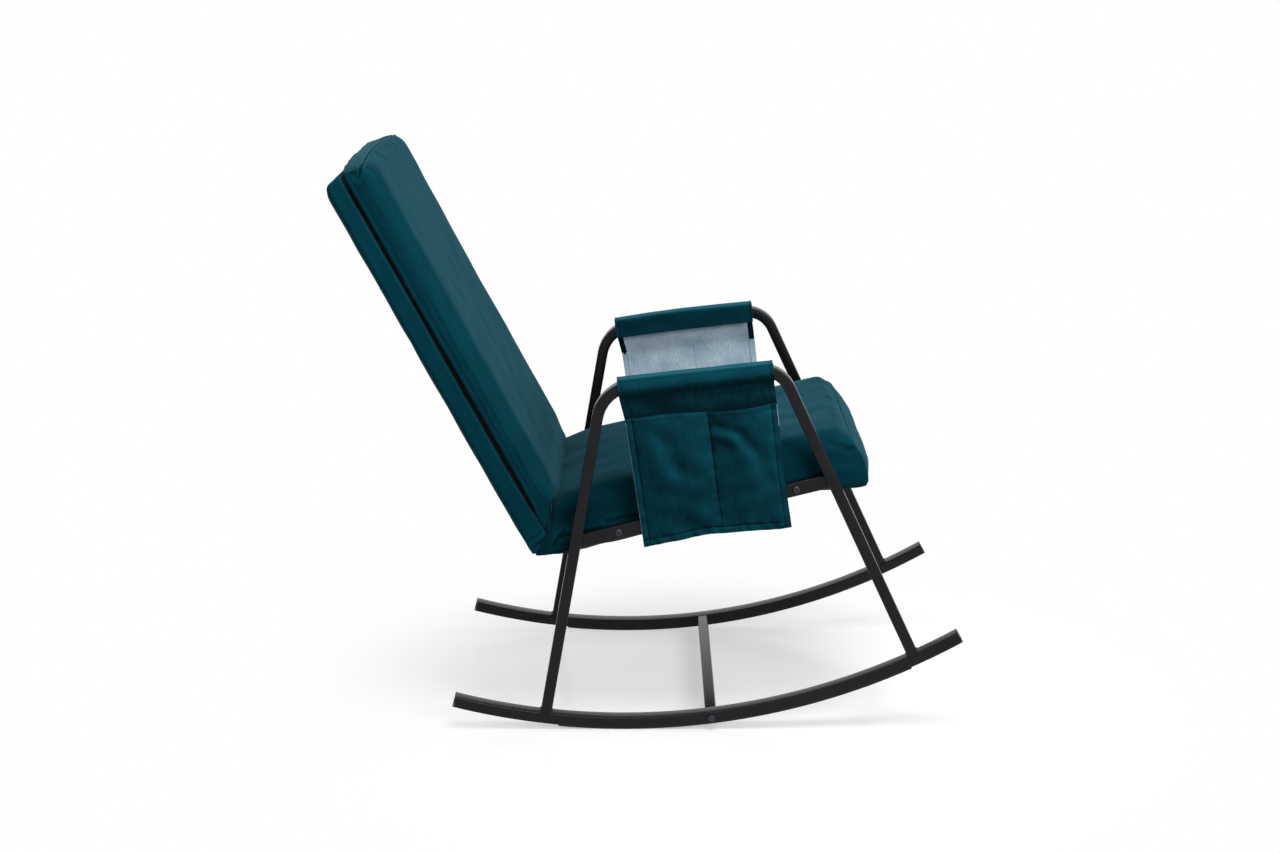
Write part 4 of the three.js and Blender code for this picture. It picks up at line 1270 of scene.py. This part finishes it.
def pocket_out(u, down, height, organiser):
    """How far out the patch lies: on the panel along its seams, and bellied out between them."""
    out = hang_out(u, height, organiser) + cloth + 0.25 * mm
    drop = np.clip(down / (1 - foot_seam / patch_drop), 0, 1)
    rumple = waves(u, height, (55 * mm, 80 * mm), organiser["seed"] + 2)
    rumple += 0.2 * waves(u, height, (20 * mm, 26 * mm), organiser["seed"] + 3)
    pockets = [(seam_share, divider_share), (divider_share, 1 - seam_share)]
    for (start, end), belly, mouth in zip(pockets, organiser["bellies"], organiser["mouths"]):
        bow = np.sin(math.pi * np.clip((u - start) / (end - start), 0, 1))
        profile = mouth * (1 - drop) ** 2 + (1 - mouth / 3) * np.sin(math.pi * drop) ** 0.8
        out += belly * mm * bow ** 0.7 * profile + 4 * mm * rumple * bow * np.sin(math.pi * drop) ** 0.5
    return out


def sheet_piece(name, grid, relief, painted_darkening, hand, edge=0):
    """A sheet with its thickness, from rows of points of the arm's frame and heights of its relief. Its
    colour is painted paler where it faces up and forward, towards the lamps, and darker where it faces
    down, less the painted shade given for each point. Its cut edges take the first or the second material."""
    grid = np.array(grid)
    rows, columns = grid.shape[:2]
    faces = []
    for i in range(rows - 1):
        for j in range(columns - 1):
            a = i * columns + j
            corners = [a, a + 1, a + 1 + columns, a + columns]
            faces.append(corners if hand > 0 else corners[::-1])
    made = new_mesh(name, carried(grid.reshape(-1, 3), arm_frame).tolist(), faces)
    push(made, np.ravel(relief))
    # Painted light and shade: paler where the sheet faces up and towards the front.
    facing_light = normals(made) @ np.array([0.5, 0, 0.87])
    set_attribute(made, "pile_tone_and_painted_light", "FLOAT", 0.42 + 0.95 * facing_light - np.ravel(painted_darkening))
    made.data.materials.append(hung_velvet)
    made.data.materials.append(twill)
    modified(made, "SOLIDIFY", thickness=cloth, offset=0, use_even_offset=True, material_offset=1,
             material_offset_rim=edge)
    bpy.ops.object.shade_smooth_by_angle(angle=math.radians(50))
    return made


# The same velvet on the organisers, with its pile down.
hung_velvet = velvet_cut("petrol velvet, pile down", arm_slope - math.pi / 2, "#021d24", "#094a57",
                         44 * mm, 0.5)

# Twill backing: pale blue-grey polyester with heathered yarns that run up and down the cloth, matt.
yarn = 0.9 * mm  # the real yarns are 0.3 mm, drawn coarser so that they show
twill, tree, shader = new_material("pale heathered twill")
streak, _ = mottled(tree, yarn, "#b4cddd", "#dceef8", 2.0, (1.0, 1.0, 0.12))
# Soft blotches of painted shade over the twill.
shade, _ = mottled(tree, 40 * mm, "#e0e5ea", "#ffffff")
mixed = add_node(tree, "MixRGB", {"Fac": 1.0, "Color1": streak, "Color2": shade}, blend_type="MULTIPLY")
_, weave = mottled(tree, yarn, "#000000", "#ffffff", 2.0, (1.0, 1.0, 0.5))
bump = add_node(tree, "Bump", {"Height": weave, "Strength": 0.3, "Distance": 0.2 * mm})
set_inputs(tree, shader, {"Base Color": mixed.outputs[0], "Roughness": 0.85, "Specular IOR Level": 0.2,
                          "Normal": bump.outputs[0]})

# Thread: dark polyester, in lock stitches.
stitch_length = 2.3 * mm
stitch_pitch = 3.2 * mm
stitch_radius = 0.38 * mm
stitch_over = 0.1 * mm
sewing_reach = 30 * mm
thread = plain_material("dark polyester thread", 5 * mm, "#02191f", "#052a33",
                        {"Roughness": 0.6, "Specular IOR Level": 0.2})


def sew(name, made, lines):
    """Stitches along lines over a sheet. Each line holds points off the cloth and the way to it."""
    mesh = made.data
    cover = BVHTree.FromPolygons([v.co for v in mesh.vertices], [p.vertices for p in mesh.polygons])
    points, faces = [], []
    for starts, towards in lines:
        steps = np.concatenate([[0], np.cumsum(np.linalg.norm(np.diff(starts, axis=0), axis=1))])
        for i in range(int(steps[-1] / stitch_pitch)):
            ends = []
            for place in (i * stitch_pitch, i * stitch_pitch + stitch_length):
                origin = Vector([np.interp(place, steps, starts[:, k]) for k in range(3)])
                toward = Vector([np.interp(place, steps, towards[:, k]) for k in range(3)])
                hit, _, _, _ = cover.ray_cast(origin, toward.normalized(), sewing_reach)
                if hit:
                    ends.append((hit, -toward.normalized()))
            if len(ends) < 2:
                continue
            (a, out), (b, _) = ends
            along = (b - a).normalized()
            beside = along.cross(out).normalized()
            over = beside.cross(along)
            base = len(points)
            for share, size in ((0, 0.4), (0.2, 1), (0.8, 1), (1, 0.4)):
                for turn in range(6):
                    angle = math.pi / 3 * turn
                    spoke = beside * math.cos(angle) + over * math.sin(angle)
                    points.append(a.lerp(b, share) + out * stitch_over + spoke * stitch_radius * size)
            for ring in range(3):
                for turn in range(6):
                    one, two = base + ring * 6 + turn, base + ring * 6 + (turn + 1) % 6
                    faces.append([one, one + 6, two + 6, two])
            faces.append([base + k for k in range(6)])
            faces.append([base + 18 + k for k in reversed(range(6))])
    sewn = new_mesh(name, [tuple(point) for point in points], faces)
    sewn.data.materials.append(thread)
    select_only(sewn)
    bpy.ops.object.shade_smooth()
    return sewn


def line_on_panel(share, heights, hand, organiser, inside=False):
    """A line to sew on the hanging cloth, seen from outside or from inside."""
    x = along_arm(share, heights) + organiser["shift"] * mm
    out = panel_out - 12 * mm if inside else panel_out + 18 * mm
    toward = np.array(arm_frame.to_3x3()) @ np.array([0, hand if inside else -hand, 0])
    return carried(arm_points(x, hand * out, heights), arm_frame), np.tile(toward, (len(x), 1))


# Where the sleeve is sewn: off its section, and the way out from it.
section = np.array(over_arm)
drift = np.gradient(section, axis=0)
outward = np.stack([-drift[:, 1], drift[:, 0]], -1)
outward /= np.linalg.norm(outward, axis=1)[:, None]
off_sleeve = section + outward * 11 * mm

for side_name, organiser in organisers.items():
    hand = organiser["hand"]
    shift = organiser["shift"] * mm
    lift = np.interp(across, np.linspace(0, 1, 5), np.array(organiser["lift"]) * mm)
    hem = along_line(across, hem_line, 1)
    from_end = from_sides(across, end_hem)
    from_side = from_sides(across, side_seam)
    rows, reliefs, painted_darkenings = [], [], []
    for i, (out, height) in enumerate(over_arm):
        outside = out > (inner_out + outer_out) / 2
        low = -crease_drop if outside else -2 * flap_drop
        heights = height + lift * rise(height, low, over_top - low)
        rows.append(arm_points(along_arm(across, heights) + shift, hand * out, heights))
        soft = waves(across, np.full(len(across), i * 3 * mm), (60 * mm, 25 * mm), organiser["seed"])
        reliefs.append(np.maximum(0, 0.9 * mm * soft) + groove(from_end, 0.5 * mm)
                       + 0.3 * mm * (from_end < -2 * mm))
        # Painted shade along the sleeve's end hems; the whole sleeve is a little darker too.
        painted_darkenings.append(0.12 + 0.3 * near(from_end, stitch_shade_reach))
    depth = panel_drop - crease_drop
    for share in with_seams(round(depth / row_step), [1 - foot_seam / depth], depth):
        heights = mix(panel_start, hem, share)
        out = hang_out(across, heights, organiser)
        rows.append(arm_points(along_arm(across, heights) + shift, hand * out, heights))
        reliefs.append(hem_relief(across, heights, organiser) * rise(-heights, 20 * mm, 20 * mm))
        # Painted shade: a dark band over the pockets up to under the sleeve, a shadow line just over their
        # mouths, and darker side seams.
        over_pocket = heights - along_line(across, pocket_line, 1)
        painted_darkening = 0.55 * near(over_pocket - 4 * mm, 12 * mm) + 0.25 * near(over_pocket - 25 * mm, 14 * mm)
        painted_darkening += 0.3 * near(over_pocket - 1 * mm, 3 * mm) + 0.22 * near(from_side, stitch_shade_reach)
        painted_darkenings.append(painted_darkening)
    sheet = sheet_piece(side_name + "_organiser_cloth", rows, reliefs, painted_darkenings, hand, 1)

    # The hem is turned in at the sleeve's ends, so velvet shows there on the inner side and at the foot's
    # edge. The backing shows along the panel's side edges.
    back_to_arm = arm_frame.inverted()
    for face in sheet.data.polygons:
        place = back_to_arm @ face.center
        inside = min(place.x - along_line(place.z, rear_edge) - shift,
                     along_line(place.z, front_edge) + shift - place.x)
        foot_edge = face.normal.z < -0.5
        if foot_edge or face.material_index == 1 and inside < side_seam and place.z > backing_from:
            face.material_index = 0
        elif inside < edge_roll and place.z < backing_from and (place.x < divider_share * cloth_width
                                                                or place.z > front_backing_to):
            face.material_index = 1

    top = along_line(across, pocket_line, 1)
    from_divider = (across - divider_share) * cloth_width
    rows, reliefs, painted_darkenings = [], [], []
    seams = [pocket_hem / patch_drop, 1 - foot_seam / patch_drop]
    for share in with_seams(round(patch_drop / row_step), seams, patch_drop):
        heights = mix(top, hem + 0.6 * mm, share)
        from_foot = heights - hem - foot_seam
        from_hem = heights - top + pocket_hem
        x = along_arm(across, heights, edge_roll)
        out = pocket_out(across, share, heights, organiser)
        for fold in organiser["folds"]:
            out += soft_fold(x, heights, fold)
        out = np.maximum(out, hang_out(across, heights, organiser) + cloth + 0.2 * mm)
        rows.append(arm_points(x + shift, hand * out, heights))
        relief = hem_relief(across, heights, organiser) + groove(from_divider, 0.5 * mm)
        relief += 1.8 * mm * near(from_divider, 8 * mm) * waves(across, heights, side_puckers, 21)
        relief += groove(from_hem, 0.3 * mm)
        relief += 1 * mm * near(from_hem, 6 * mm) * waves(across, heights, foot_puckers, 22)
        reliefs.append(relief)
        # Painted shade along the patch's seams and divider, and faintly along the pocket hem.
        painted_darkenings.append(0.28 * np.maximum.reduce([
            near(from_side, stitch_shade_reach),
            near(from_foot, stitch_shade_reach),
            near(from_divider, 1.5 * mm),
            0.3 * near(from_hem, stitch_shade_reach),
        ]))
    patch = sheet_piece(side_name + "_pocket_patch", rows, reliefs, painted_darkenings, hand)

    heights = np.linspace(*pocket_side_run, 80)
    lines = [line_on_panel(share, heights, hand, organiser) for share in (seam_share, 1 - seam_share)]
    lines.append(line_on_panel(divider_share, np.linspace(*pocket_divider_run, 80), hand, organiser))
    for heights in (along_line(seam_shares, hem_line, 1) + foot_seam,
                    along_line(seam_shares, pocket_line, 1) - pocket_hem):
        lines.append(line_on_panel(seam_shares, heights, hand, organiser))
    stitches = sew(side_name + "_pocket_stitches", patch, lines)
    heights = np.linspace(*panel_side_run, 20)
    lines = [line_on_panel(share, heights, hand, organiser) for share in (seam_share, 1 - seam_share)]
    heights = np.linspace(*inner_run, 80)
    for share in (seam_share, divider_share, 1 - seam_share):
        lines.append(line_on_panel(share, heights, hand, organiser, inside=True))
    panel_stitches = sew(side_name + "_panel_stitches", sheet, lines)
    lines = []
    for share in (end_share, 1 - end_share):
        x = along_arm(share, section[:, 1]) + shift
        starts = carried(arm_points(x, hand * off_sleeve[:, 0], off_sleeve[:, 1]), arm_frame)
        toward = arm_points(0, -hand * outward[:, 0], -outward[:, 1]) @ np.array(arm_frame.to_3x3()).T
        lines.append((starts, toward))
    sleeve_stitches = sew(side_name + "_sleeve_stitches", sheet, lines)

    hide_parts(side_name + "_organiser_sleeve", side_name + "_organiser_panel")
    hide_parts(side_name + "_organiser_pockets")
    body = side_name + "_organiser"
    for made in (patch, stitches, panel_stitches):
        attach(made, body)
    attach(sleeve_stitches, "chair")
    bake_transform(sheet)
